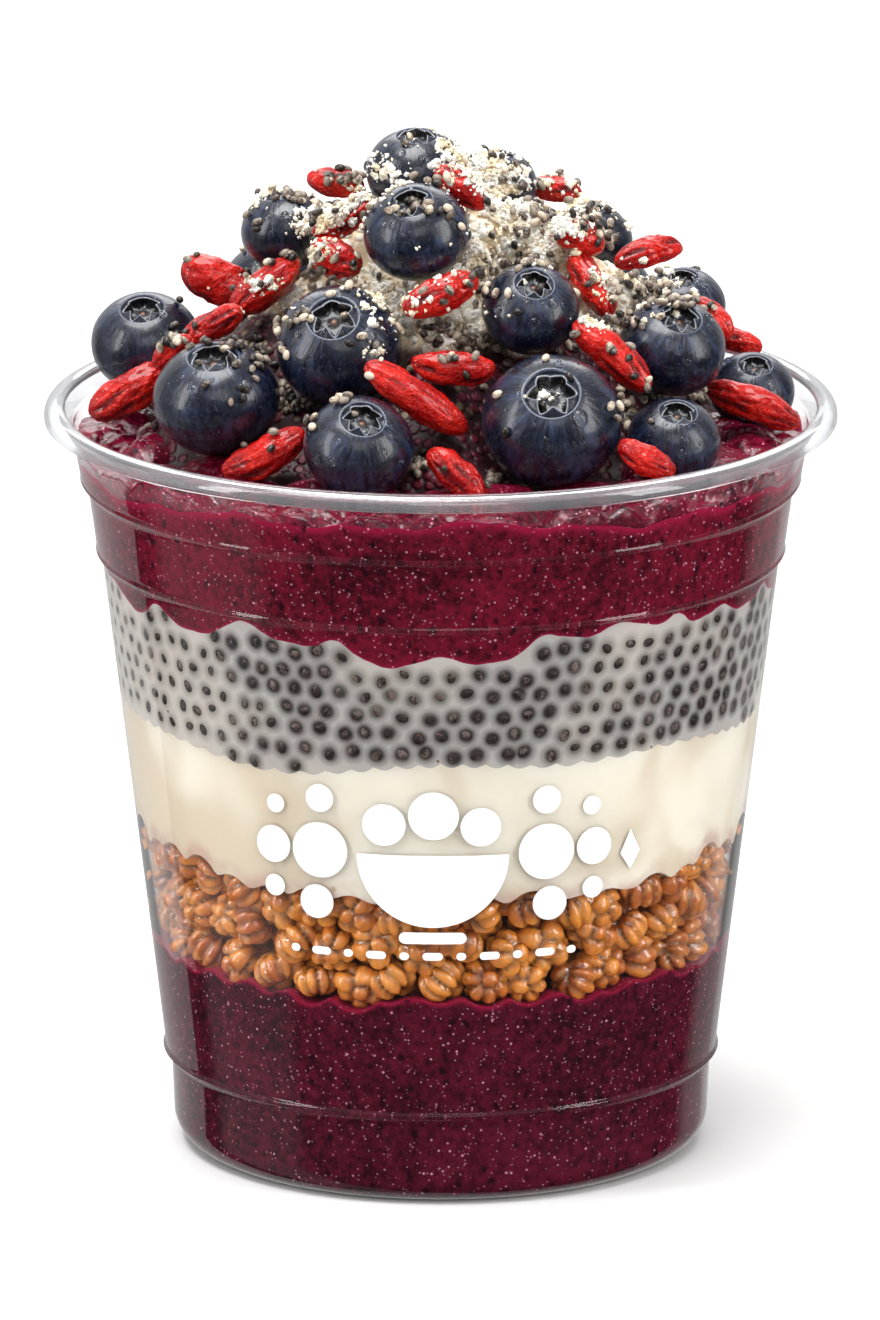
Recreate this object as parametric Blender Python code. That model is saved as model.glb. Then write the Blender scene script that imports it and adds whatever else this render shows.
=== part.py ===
"""A layered acai bowl in a clear takeaway cup, heaped with blueberries, goji berries, crumb and seeds.

Z is up, the cup stands on z = 0 and its axis is the Z axis. Lengths are in metres.
"""

import math

import bmesh
import bpy
from mathutils import Vector

MM = 0.001
SEGMENTS = 36          # sides of every turned or layered piece, shared so that their flats line up
GAP = 0.3 * MM         # clearance between pieces that touch

# The thermoformed cup
WALL = 0.5 * MM
RIM_RADIUS = 49.0 * MM
RIM_TOP = 94.0 * MM
RIM_LIP = 91.9 * MM
STAND_INNER = 24.0 * MM
STAND_OUTER = 29.2 * MM
FLOOR_RISE = 1.2 * MM
FLOOR_THICKNESS = 0.6 * MM
HEEL_RADIUS = 4.0 * MM

# The outside of the wall, from the heel up: a stacking ledge, a long taper and two rings under the rim
WALL_OUTSIDE = tuple((r * MM, z * MM) for r, z in (
    (33.2, 4.0), (33.5, 10.8), (34.2, 11.8), (41.9, 74.6), (42.6, 76.2),
    (43.6, 83.5), (44.6, 85.2), (45.2, 88.5), (45.8, 91.2)))
RIM_INNER = 46.2 * MM

# Mean height of the top of each layer at the wall
ACAI_BASE_TOP = 25.0 * MM
GRANOLA_TOP = 40.5 * MM
YOGHURT_TOP = 56.0 * MM
CHIA_TOP = 72.0 * MM
ACAI_TOP = 87.6 * MM
MID_SHARE = 0.7         # where the waves of a boundary have nearly died out, as a share of its radius

# The heap of crumb and seeds: a dome, steeper towards the front, that ends short of the wall
HEAP_TOP = 121.0 * MM
HEAP_CENTRE = (-1.0 * MM, 3.0 * MM)
HEAP_SLOPE = 0.30
HEAP_CURVE = 10.5
HEAP_FRONT = 1.35
HEAP_BACK = 1.1
HEAP_EDGE = 1.3 * MM
HEAP_REACH = 40.0 * MM
HEAP_RINGS = 11
HEAP_GAP = 0.7 * MM
THINNEST = 0.4 * MM
SEAT_CLEARANCE = 0.6 * MM
SEAT_MARGIN = 1.0 * MM

# Blueberries: x, y, z of the middle and the diameter in mm, then the way the crown faces:
# compass angle from +X and height above level in degrees
BLUEBERRIES = (
    (-3, 4, 122, 12.5, -90, 80), (7, 10.5, 119, 10, 0, 80), (-19, 7, 114, 11.5, 180, 80),
    (-3, -9, 117.5, 13, -105, 60), (18.5, 8, 112.5, 10.5, 0, 85), (30, 8.5, 104, 10.5, -100, 70),
    (-36.5, 6, 100, 13.5, -100, 65), (-12.5, -14.5, 104.5, 15.5, -100, 48),
    (11, -12, 108.5, 12, -80, 55), (28.5, -9, 103, 13, -70, 58), (38.5, 3, 94.5, 10.5, -80, 65),
    (-27.5, -17, 98.5, 15.5, -100, 70), (-10, -30, 95.5, 13.5, -80, 55),
    (13.5, -25, 97.5, 17, -90, 45), (28.5, -20.5, 94, 11.5, -75, 65), (-21, 21, 103.5, 13, 130, 60),
    (2, 25, 108, 13, 80, 55), (20, 23, 102, 13.5, 50, 60), (-8, 37, 96, 14, 100, 55),
    (13, 36.5, 96, 11, 70, 60))
BERRY_SIDES = 10
BERRY_SQUASH = 0.86

# Goji berries: x, y, z of the middle, length and thickness in mm, then heading and pitch in degrees
GOJIS = (
    (-27.5, 7, 107.5, 9.5, 5.8, -5, -19), (-21.5, -2, 109, 10, 5, 9, 36),
    (-12, -1, 117, 8.5, 4.2, 14, 30), (-13, -6.5, 113.5, 7, 5, -31, -21),
    (2.5, -4, 122, 8, 4.4, -34, -26), (-13, 9, 119.5, 7, 3.6, -3, -10),
    (14, 14, 117.5, 7, 3.4, -22, 0), (17, -2.5, 115.5, 7, 4.2, 18, -24),
    (18.5, -5.5, 110, 9.5, 4.5, -49, -42), (25.5, -1, 113, 9, 3.8, 25, 8),
    (21, -17.5, 104, 12, 5, -12, -40), (0, -15, 111, 10, 4.6, 21, 19),
    (-28, -6, 105, 8.5, 4.2, -17, 33), (1.5, -20, 103, 10, 4.4, 0, -5),
    (-3, -25, 100.5, 14.5, 5, 0, -34), (-38.5, -4.5, 96, 10.5, 5.4, 9, 32),
    (-21.5, -26, 93.5, 11, 5, -2, 28), (2, -34, 93, 9, 4.6, -21, -38),
    (25, -30, 94, 7.5, 3.8, -8, -27), (38.5, -6, 95, 12, 4.8, -6, -21),
    (33.5, -0.5, 104.5, 6.5, 3.6, -29, -40), (36.5, 13.5, 98.5, 7, 3.4, -5, -19),
    (-33, -9, 102.5, 6, 3, -8, 38), (-33, 19, 97.5, 11, 5, 65, -20),
    (-11, 24.5, 107, 11, 5, 20, -25), (8, 31.5, 104, 11, 5, 160, -20),
    (31, 25, 95, 11, 5, -40, 5), (-22, 34, 94, 11, 5, 30, 10))
GOJI_SIDES = 8
GOJI_WRINKLE = 0.07


def clear_scene():
    for obj in list(bpy.data.objects):
        bpy.data.objects.remove(obj)


def material(name, colour, roughness, metallic=0.0, alpha=1.0):
    mat = bpy.data.materials.new(name)
    mat.use_nodes = True
    shader = mat.node_tree.nodes["Principled BSDF"]
    shader.inputs["Base Color"].default_value = (*colour, 1.0)
    shader.inputs["Roughness"].default_value = roughness
    shader.inputs["Metallic"].default_value = metallic
    shader.inputs["Alpha"].default_value = alpha
    return mat


def add_object(name, bm, mat, sharp_angle=50):
    """Turns a bmesh into a named, smooth-shaded object."""
    bmesh.ops.recalc_face_normals(bm, faces=bm.faces)
    mesh = bpy.data.meshes.new(name)
    bm.to_mesh(mesh)
    bm.free()
    mesh.shade_smooth()
    mesh.set_sharp_from_angle(angle=math.radians(sharp_angle))
    mesh.materials.append(mat)
    obj = bpy.data.objects.new(name, mesh)
    bpy.context.collection.objects.link(obj)
    return obj


def arc(cx, cz, radius, start, end, steps):
    """Points (x, z) on an arc, angles in degrees."""
    angles = [math.radians(start + (end - start) * i / steps) for i in range(steps + 1)]
    return [(cx + radius * math.cos(a), cz + radius * math.sin(a)) for a in angles]


def interpolate(points, z):
    """Radius at height z on a wall given as (radius, height) points."""
    for (r0, z0), (r1, z1) in zip(points, points[1:]):
        if z <= z1:
            return r0 + (r1 - r0) * (z - z0) / (z1 - z0)
    return points[-1][0]


def smooth_step(low, high, value):
    t = min(max((value - low) / (high - low), 0.0), 1.0)
    return t * t * (3 - 2 * t)


def skin(rings, first_pole, last_pole):
    """A closed solid through rings of points, shut by a fan to a pole at each end.

    Each quad is split from its inner corner i to its outer corner j, so that the top of one
    layer and the underside of the next have the same facets.
    """
    bm = bmesh.new()
    loops = [[bm.verts.new(p) for p in ring] for ring in rings]
    count = len(loops[0])
    poles = (bm.verts.new(first_pole), bm.verts.new(last_pole))
    for first, second in zip(loops, loops[1:]):
        inner, outer = sorted((first, second), key=lambda loop: loop[0].co.xy.length)
        for i in range(count):
            j = (i + 1) % count
            bm.faces.new((inner[i], inner[j], outer[j]))
            bm.faces.new((inner[i], outer[j], outer[i]))
    for pole, ring in zip(poles, (loops[0], loops[-1])):
        for i in range(count):
            bm.faces.new((pole, ring[i], ring[(i + 1) % count]))
    return bm


def ring(radius, height, sides=SEGMENTS):
    """A ring of points; radius and height are functions of the angle."""
    angles = [2 * math.pi * i / sides for i in range(sides)]
    return [Vector((radius(a) * math.cos(a), radius(a) * math.sin(a), height(a))) for a in angles]


# ---------------------------------------------------------------- cup

def cup_profile():
    """The section of the cup from the axis under the floor, up the outside and down the inside."""
    heel = arc(STAND_OUTER, HEEL_RADIUS, HEEL_RADIUS, -90, 0, 3)
    under_rim = [(RIM_INNER + 0.8 * MM, RIM_TOP - 1.3 * MM)]
    lip_thickness = 0.6 * MM
    inner_bend = arc(RIM_RADIUS - 1.5 * MM, RIM_TOP - 1.5 * MM, 1.5 * MM - lip_thickness, 90, 0, 2)
    outer_bend = arc(RIM_RADIUS - 1.5 * MM, RIM_TOP - 1.5 * MM, 1.5 * MM, 0, 90, 3)
    lip = [(RIM_RADIUS - lip_thickness, RIM_LIP), (RIM_RADIUS, RIM_LIP)]
    crest = [(RIM_INNER, RIM_TOP - 0.7 * MM)]
    inside = [(r - WALL, z) for r, z in reversed(WALL_OUTSIDE)]
    inner_heel = arc(STAND_OUTER, HEEL_RADIUS, HEEL_RADIUS - WALL, 0, -90, 3)[1:]
    floor_top = FLOOR_RISE + FLOOR_THICKNESS
    return ([(0.0, FLOOR_RISE), (STAND_INNER - FLOOR_RISE, FLOOR_RISE), (STAND_INNER, 0.0)]
            + heel + list(WALL_OUTSIDE[1:]) + under_rim + inner_bend + lip + outer_bend + crest
            + inside + inner_heel
            + [(STAND_INNER, WALL), (STAND_INNER - FLOOR_RISE, floor_top), (0.0, floor_top)])


def make_cup():
    """The section is spun once round the axis and its seam and poles are merged."""
    bm = bmesh.new()
    verts = [bm.verts.new((r, 0.0, z)) for r, z in cup_profile()]
    edges = [bm.edges.new(pair) for pair in zip(verts, verts[1:])]
    bmesh.ops.spin(bm, geom=verts + edges, cent=(0, 0, 0), axis=(0, 0, 1), angle=2 * math.pi,
                   steps=SEGMENTS, use_duplicate=False)
    bmesh.ops.remove_doubles(bm, verts=bm.verts, dist=0.001 * MM)
    plastic = material("clear_plastic", (0.93, 0.94, 0.95), 0.06, alpha=0.25)
    return add_object("cup", bm, plastic, sharp_angle=35)


# ---------------------------------------------------------------- layers

def inside_radius(z):
    """How far food reaches at height z, a small gap short of the wall."""
    heel_top = WALL_OUTSIDE[0][1]
    if z >= heel_top:
        return interpolate(WALL_OUTSIDE, z) - WALL - GAP
    drop = heel_top - z
    reach = HEEL_RADIUS - WALL - GAP
    return STAND_OUTER + math.sqrt(max(reach ** 2 - drop ** 2, 0.0))


def floor_of_cup(a):
    return FLOOR_RISE + FLOOR_THICKNESS + GAP


def wave(mean, *terms):
    """A wavy level: a function of the angle, from (count round the cup, amplitude, phase) terms."""
    return lambda a: mean + sum(size * math.sin(count * a + phase) for count, size, phase in terms)


ACAI_BASE_LEVEL = wave(ACAI_BASE_TOP, (3, 0.7 * MM, 0.5), (7, 0.4 * MM, 0.0))
GRANOLA_LEVEL = wave(GRANOLA_TOP, (4, 0.8 * MM, 1.0), (7, 0.5 * MM, 2.0))
YOGHURT_LEVEL = wave(YOGHURT_TOP, (5, 0.7 * MM, 0.0), (8, 0.5 * MM, 1.0))
CHIA_LEVEL = wave(CHIA_TOP, (4, 1.2 * MM, 2.2), (7, 0.8 * MM, 0.4))


def acai_surface(r, a):
    """The open top of the puree: nearly level in the middle, lumpy near the wall."""
    lumps = 0.7 * math.sin(5 * a + 0.8) + 0.5 * math.sin(8 * a + 90 * r)
    near_wall = smooth_step(30 * MM, 40 * MM, r)
    return ACAI_TOP + lumps * near_wall * MM


def level_rings(level, shares, mean):
    """Rings across a boundary between layers, whose waves die out towards the middle."""
    rings = []
    for share in shares:
        radius = share * inside_radius(mean)
        fade = smooth_step(0.5, 1.0, share)
        rings.append(ring(lambda a, r=radius: r, lambda a, f=fade: mean + (level(a) - mean) * f))
    return rings


def edge_ring(level):
    """The ring where a boundary meets the wall."""
    return ring(lambda a: inside_radius(level(a)), level)


def make_layer(name, under, under_mean, over, over_mean, breaks, mat):
    """A layer between two wavy boundaries; breaks are heights where the wall steps."""
    shares = (MID_SHARE,)
    lift = lambda level: (lambda a: level(a) + GAP)
    low = under_mean + GAP
    rings = level_rings(lift(under), shares, low) + [edge_ring(lift(under))]
    rings += [ring(lambda a, z=z: inside_radius(z), lambda a, z=z: z) for z in breaks]
    rings += [edge_ring(over)] + level_rings(over, shares, over_mean)
    bm = skin(rings, (0, 0, low), (0, 0, over_mean))
    return add_object(name, bm, mat)


def make_acai_base():
    """The bottom layer follows the raised floor and the heel of the cup."""
    low = floor_of_cup(0)
    ring_level = WALL + GAP
    flat = [ring(lambda a: STAND_INNER - FLOOR_RISE, floor_of_cup),
            ring(lambda a: STAND_INNER, lambda a: ring_level)]
    sides = [ring(lambda a, z=z: inside_radius(z), lambda a, z=z: z)
             for z in (ring_level, 1.8 * MM, 4.0 * MM, 10.6 * MM, 12.0 * MM)]
    top = [edge_ring(ACAI_BASE_LEVEL)] + level_rings(ACAI_BASE_LEVEL, (MID_SHARE,), ACAI_BASE_TOP)
    bm = skin(flat + sides + top, (0, 0, low), (0, 0, ACAI_BASE_TOP))
    return add_object("acai_base", bm, material("acai", (0.16, 0.012, 0.045), 0.35))


def make_acai_top():
    """The top layer of puree, whose open surface carries the heap."""
    low = CHIA_TOP + GAP
    under = lambda a: CHIA_LEVEL(a) + GAP
    rings = level_rings(under, (MID_SHARE,), low) + [edge_ring(under)]
    for z in (74.9 * MM, 76.4 * MM, 83.3 * MM, 85.4 * MM):
        rings.append(ring(lambda a, z=z: inside_radius(z), lambda a, z=z: z))
    rim = inside_radius(ACAI_TOP)
    for radius in (rim, 0.94 * rim, 0.87 * rim, 0.78 * rim, 0.4 * rim):
        rings.append(ring(lambda a, r=radius: r, lambda a, r=radius: acai_surface(r, a)))
    bm = skin(rings, (0, 0, low), (0, 0, ACAI_TOP))
    return add_object("acai_top", bm, material("acai_glossy", (0.16, 0.012, 0.045), 0.2))


def make_layers():
    make_acai_base()
    make_layer("granola", ACAI_BASE_LEVEL, ACAI_BASE_TOP, GRANOLA_LEVEL, GRANOLA_TOP, (),
               material("granola", (0.25, 0.09, 0.025), 0.5))
    make_layer("yoghurt", GRANOLA_LEVEL, GRANOLA_TOP, YOGHURT_LEVEL, YOGHURT_TOP, (),
               material("yoghurt", (0.85, 0.78, 0.66), 0.4))
    make_layer("chia_pudding", YOGHURT_LEVEL, YOGHURT_TOP, CHIA_LEVEL, CHIA_TOP, (),
               material("chia_pudding", (0.42, 0.38, 0.35), 0.35))
    make_acai_top()


# ---------------------------------------------------------------- berries

def direction(heading, pitch):
    """A unit vector from a compass angle and an angle above level, in degrees."""
    h, p = math.radians(heading), math.radians(pitch)
    return Vector((math.cos(h) * math.cos(p), math.sin(h) * math.cos(p), math.sin(p)))


def blueberry_bmesh(diameter):
    """A flattened ball with a five-pointed crown round a shallow dish on top."""
    radius = diameter / 2
    half = BERRY_SQUASH * radius
    crown = 0.42 * radius
    crown_height = 0.86 * half
    rings = []
    for latitude in (-52, -12, 28, 60):
        t = math.radians(latitude)
        rings.append(ring(lambda a, t=t: radius * math.cos(t), lambda a, t=t: half * math.sin(t),
                          BERRY_SIDES))
    tip = lambda a: crown_height + 0.10 * radius * (1 + math.cos(5 * a))
    rings.append(ring(lambda a: crown, tip, BERRY_SIDES))
    rings.append(ring(lambda a: 0.7 * crown, lambda a: 0.74 * half, BERRY_SIDES))
    return skin(rings, (0, 0, -half), (0, 0, 0.72 * half))


def make_blueberries():
    mat = material("blueberry", (0.035, 0.045, 0.085), 0.4)
    for number, (x, y, z, diameter, heading, pitch) in enumerate(BLUEBERRIES, 1):
        berry = add_object(f"blueberry_{number:02d}", blueberry_bmesh(diameter * MM), mat)
        berry.location = Vector((x, y, z)) * MM
        berry.rotation_mode = "QUATERNION"
        berry.rotation_quaternion = direction(heading, pitch).to_track_quat("Z", "Y")


def goji_bmesh(length, thickness):
    """A long berry along +Z, fuller at one end, with lengthwise folds."""
    rings = []
    for share, width in ((-0.36, 0.66), (0.0, 1.0), (0.33, 0.72)):
        fold = lambda a, w=width: thickness / 2 * w * (1 + GOJI_WRINKLE * math.cos(4 * a))
        rings.append(ring(fold, lambda a, s=share: s * length, GOJI_SIDES))
    return skin(rings, (0, 0, -length / 2), (0, 0, length / 2))


def make_gojis():
    mat = material("goji", (0.62, 0.015, 0.006), 0.3)
    for number, (x, y, z, length, thickness, heading, pitch) in enumerate(GOJIS, 1):
        goji = add_object(f"goji_{number:02d}", goji_bmesh(length * MM, thickness * MM), mat)
        goji.location = Vector((x, y, z)) * MM
        goji.rotation_mode = "QUATERNION"
        goji.rotation_quaternion = direction(heading, pitch).to_track_quat("Z", "Y")


# ---------------------------------------------------------------- heap of crumb and seeds

def resting_balls():
    """Every berry as balls (centre, radius), so that the heap can be dented under it."""
    balls = [(Vector((x, y, z)) * MM, d / 2 * MM) for x, y, z, d, _, _ in BLUEBERRIES]
    for x, y, z, length, thickness, heading, pitch in GOJIS:
        middle = Vector((x, y, z)) * MM
        along = direction(heading, pitch) * length * MM
        balls += [(middle + along * share, thickness * width / 2 * MM)
                  for share, width in ((-0.4, 0.7), (-0.2, 0.95), (0.0, 1.07), (0.2, 0.95), (0.4, 0.7))]
    return balls


def dome(x, y):
    """The heap before anything rests on it."""
    stretch = HEAP_FRONT if y < HEAP_CENTRE[1] else HEAP_BACK
    out = math.hypot(x - HEAP_CENTRE[0], (y - HEAP_CENTRE[1]) * stretch)
    return HEAP_TOP - HEAP_SLOPE * out - HEAP_CURVE * out ** 2


def heap_height(x, y, balls):
    """The dome, raised to meet each berry and dented to clear it."""
    height = dome(x, y)
    for centre, radius in balls:
        away = math.hypot(x - centre.x, y - centre.y)
        height = max(height, centre.z - radius - SEAT_CLEARANCE - 1.5 * max(away - 0.4 * radius, 0.0))
    for centre, radius in balls:
        reach = radius + SEAT_CLEARANCE
        away = max(math.hypot(x - centre.x, y - centre.y) - SEAT_MARGIN, 0.0)
        turn = 0.8 * reach
        if away < turn:
            limit = centre.z - math.sqrt(reach ** 2 - away ** 2)
        else:
            limit = centre.z - 0.6 * reach + (away - turn) * 4 / 3
        height = min(height, limit)
    return height


def heap_outline(a):
    """Where the heap ends: the foot of the dome, uneven, and short of the wall."""
    r = HEAP_REACH
    while dome(r * math.cos(a), r * math.sin(a)) < ACAI_TOP + HEAP_EDGE:
        r -= 0.5 * MM
    return r + (0.5 * math.sin(6 * a + 1) + 0.4 * math.sin(11 * a)) * MM


def make_heap():
    balls = resting_balls()
    underside = lambda r, a: acai_surface(r, a) + HEAP_GAP

    def top_of_heap(r, a):
        surface = heap_height(r * math.cos(a), r * math.sin(a), balls)
        return max(surface, underside(r, a) + THINNEST)

    shares = [i / HEAP_RINGS for i in range(1, HEAP_RINGS + 1)]
    low_shares = (0.4, 0.75, 0.9, 1.0)
    rings = [ring(lambda a, s=s: s * heap_outline(a), lambda a, s=s: underside(s * heap_outline(a), a))
             for s in low_shares]
    rings += [ring(lambda a, s=s: s * heap_outline(a), lambda a, s=s: top_of_heap(s * heap_outline(a), a))
              for s in reversed(shares)]
    bm = skin(rings, (0, 0, ACAI_TOP + HEAP_GAP), (0, 0, heap_height(0, 0, balls)))
    return add_object("topping_mound", bm, material("crumb_and_seeds", (0.62, 0.52, 0.38), 0.8), 80)


clear_scene()
make_cup()
make_layers()
make_heap()
make_blueberries()
make_gojis()
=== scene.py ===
import math
import random

import bmesh
import bpy
from mathutils import Matrix, Vector, kdtree, noise
from mathutils.bvhtree import BVHTree


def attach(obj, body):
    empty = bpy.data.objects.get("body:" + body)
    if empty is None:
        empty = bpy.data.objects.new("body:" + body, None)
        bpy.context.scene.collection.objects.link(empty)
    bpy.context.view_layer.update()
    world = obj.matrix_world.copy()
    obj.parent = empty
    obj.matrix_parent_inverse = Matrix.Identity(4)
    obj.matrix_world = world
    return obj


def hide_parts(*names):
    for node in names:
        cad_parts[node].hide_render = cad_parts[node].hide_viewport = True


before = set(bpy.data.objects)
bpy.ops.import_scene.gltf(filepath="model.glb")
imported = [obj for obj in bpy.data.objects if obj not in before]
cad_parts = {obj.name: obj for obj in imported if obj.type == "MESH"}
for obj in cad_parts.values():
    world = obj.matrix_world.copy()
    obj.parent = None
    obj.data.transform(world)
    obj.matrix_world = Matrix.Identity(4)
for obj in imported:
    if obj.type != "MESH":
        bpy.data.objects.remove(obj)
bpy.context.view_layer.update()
MM = 0.001


# ---- Clear cup -------------------------------------------------------------------------------
# A thin thermoformed cup of clear plastic: one sheet drawn into a tapered wall with a stacking
# ledge near the foot, two stiffening rings under the rim, and a rolled lip left by the trim.
WALL = 0.5
WALL_OUTSIDE = ((33.2, 4.0), (33.5, 10.8), (34.2, 11.8), (41.9, 74.6), (42.6, 76.2),
                (43.6, 83.5), (44.6, 85.2), (45.2, 88.5), (45.8, 91.2))
STAND_INNER, STAND_OUTER, HEEL = 24.0, 29.2, 4.0
FLOOR_RISE, FLOOR_THICKNESS = 1.2, 0.6
RIM_RADIUS, RIM_TOP, RIM_LIP = 49.0, 94.0, 91.9
CUP_SIDES = 144
BEADS, BEAD_RISE = (11.9, 75.6, 84.6), 0.34     # heights of the fine beads on the rings


def node(tree, kind, inputs=None, **settings):
    """Adds a shader node; an input is given a value or linked from another node's socket."""
    made = tree.nodes.new(kind)
    for key, value in settings.items():
        setattr(made, key, value)
    for key, value in (inputs or {}).items():
        if isinstance(value, bpy.types.NodeSocket):
            tree.links.new(value, made.inputs[key])
        else:
            made.inputs[key].default_value = value
    return made


def blend_colours(tree, share, first, second, mode="MIX"):
    made = node(tree, "ShaderNodeMix", {0: share}, data_type="RGBA", blend_type=mode)
    for key, value in ((6, first), (7, second)):
        if isinstance(value, bpy.types.NodeSocket):
            tree.links.new(value, made.inputs[key])
        else:
            made.inputs[key].default_value = value
    return made.outputs[2]


def math_node(tree, operation, first, second=0.0, clamp=False):
    return node(tree, "ShaderNodeMath", {0: first, 1: second}, operation=operation,
                use_clamp=clamp).outputs[0]


def band(tree, value, low, high):
    """A smooth mask that goes from 0 where value is low to 1 where it is high."""
    return node(tree, "ShaderNodeMapRange", {0: value, 1: low, 2: high, 3: 0.0, 4: 1.0},
                interpolation_type="SMOOTHSTEP").outputs[0]


def tone(red, green, blue):
    """A colour given as it appears, 0 to 255, in the linear values that a shader takes."""
    def linear(value):
        share = value / 255
        return share / 12.92 if share <= 0.04045 else ((share + 0.055) / 1.055) ** 2.4
    return (linear(red), linear(green), linear(blue), 1.0)


def new_material(name, **sockets):
    """A node material with one Principled shader whose constants are set on its own sockets."""
    mat = bpy.data.materials.new(name)
    mat.use_nodes = True
    shader = mat.node_tree.nodes["Principled BSDF"]
    for key, value in sockets.items():
        shader.inputs[key.replace("_", " ")].default_value = value
    return mat, mat.node_tree, shader


def finish_piece(name, bm, mat, smooth=60, recalc=True):
    """Closes a bmesh into a piece in metres that rides with the cup."""
    if recalc:
        bmesh.ops.recalc_face_normals(bm, faces=bm.faces)
    bmesh.ops.scale(bm, vec=(MM, MM, MM), verts=bm.verts)
    mesh = bpy.data.meshes.new(name)
    bm.to_mesh(mesh)
    bm.free()
    mesh.shade_smooth()
    if smooth < 180:
        mesh.set_sharp_from_angle(angle=math.radians(smooth))
    mesh.materials.append(mat)
    piece = bpy.data.objects.new(name, mesh)
    bpy.context.collection.objects.link(piece)
    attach(piece, "root")
    return piece


def arc(cx, cz, radius, start, end, steps):
    """Points (radius, height) on an arc, angles in degrees."""
    turns = [math.radians(start + (end - start) * i / steps) for i in range(steps + 1)]
    return [(cx + radius * math.cos(t), cz + radius * math.sin(t)) for t in turns]


def eased(points, reach, steps=4):
    """A line through points with each corner drawn into a short curve."""
    line = [Vector(p) for p in points]
    out = [line[0]]
    for before, corner, after in zip(line, line[1:], line[2:]):
        into, away = corner - before, after - corner
        a = corner - into.normalized() * min(reach, into.length * 0.45)
        b = corner + away.normalized() * min(reach, away.length * 0.45)
        for i in range(steps + 1):
            t = i / steps
            out.append((1 - t) ** 2 * a + 2 * t * (1 - t) * corner + t * t * b)
    return out + [line[-1]]


def spun(points, sides=CUP_SIDES):
    """Turns a section of (radius, height) points once round the axis, seam and poles merged."""
    bm = bmesh.new()
    verts = [bm.verts.new((p[0], 0, p[1])) for p in points]
    edges = [bm.edges.new(pair) for pair in zip(verts, verts[1:])]
    bmesh.ops.spin(bm, geom=verts + edges, cent=(0, 0, 0), axis=(0, 0, 1),
                   angle=2 * math.pi, steps=sides, use_merge=True, use_duplicate=False)
    bmesh.ops.remove_doubles(bm, verts=bm.verts, dist=0.0005)
    return bm


def outside(z):
    """Radius of the outside of the wall at height z, in mm."""
    if z < WALL_OUTSIDE[0][1]:
        return STAND_OUTER + math.sqrt(max(HEEL ** 2 - (HEEL - max(z, 0)) ** 2, 0.0))
    for (r0, z0), (r1, z1) in zip(WALL_OUTSIDE, WALL_OUTSIDE[1:]):
        if z <= z1:
            return r0 + (r1 - r0) * (z - z0) / (z1 - z0)
    return WALL_OUTSIDE[-1][0]


def clear_plastic():
    """Glossy and colourless; lamps reach the food through it."""
    mat, tree, shader = new_material("clear_plastic", Roughness=0.035, IOR=1.46, Metallic=0.0,
                                     Transmission_Weight=1.0, Base_Color=(0.98, 0.985, 0.99, 1))
    place = node(tree, "ShaderNodeTexCoord")
    stretch = node(tree, "ShaderNodeMapping", {"Vector": place.outputs["Object"],
                                               "Scale": (1, 1, 0.35)})
    draw = node(tree, "ShaderNodeTexNoise", {"Vector": stretch.outputs[0], "Scale": 70.0,
                                             "Detail": 1.0})
    uneven = node(tree, "ShaderNodeBump", {"Height": draw.outputs[0], "Strength": 0.05,
                                           "Distance": 0.001})
    tree.links.new(uneven.outputs[0], shader.inputs["Normal"])
    path = node(tree, "ShaderNodeLightPath")
    through = node(tree, "ShaderNodeBsdfTransparent", {"Color": (0.96, 0.965, 0.97, 1)})
    mixed = node(tree, "ShaderNodeMixShader", {0: path.outputs["Is Shadow Ray"],
                                               1: shader.outputs[0], 2: through.outputs[0]})
    tree.links.new(mixed.outputs[0], tree.nodes["Material Output"].inputs["Surface"])
    return mat


def rolled_lip():
    """The lip is several folds thick, so it looks hazy and catches light."""
    mat, tree, shader = new_material("rolled_lip", Roughness=0.07, IOR=1.46, Metallic=0.0,
                                     Transmission_Weight=0.96)
    place = node(tree, "ShaderNodeTexCoord").outputs["Object"]
    haze = node(tree, "ShaderNodeTexNoise", {"Vector": place, "Scale": 50.0, "Detail": 2.0})
    colour = blend_colours(tree, haze.outputs[0], (0.66, 0.67, 0.69, 1), (0.84, 0.84, 0.86, 1))
    tree.links.new(colour, shader.inputs["Base Color"])
    path = node(tree, "ShaderNodeLightPath")
    through = node(tree, "ShaderNodeBsdfTransparent", {"Color": (0.9, 0.9, 0.9, 1)})
    mixed = node(tree, "ShaderNodeMixShader", {0: path.outputs["Is Shadow Ray"],
                                               1: shader.outputs[0], 2: through.outputs[0]})
    tree.links.new(mixed.outputs[0], tree.nodes["Material Output"].inputs["Surface"])
    return mat


def beaded(points):
    """The outside line with a fine bead standing on each ring."""
    line = [p for p in points if all(abs(p[1] - z) > 0.5 for z in BEADS)]
    for z in BEADS:
        line += [(outside(z - 0.45), z - 0.45), (outside(z) + BEAD_RISE, z - 0.08),
                 (outside(z) + BEAD_RISE, z + 0.08), (outside(z + 0.42), z + 0.42)]
    return sorted(line, key=lambda point: point[1])


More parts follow.
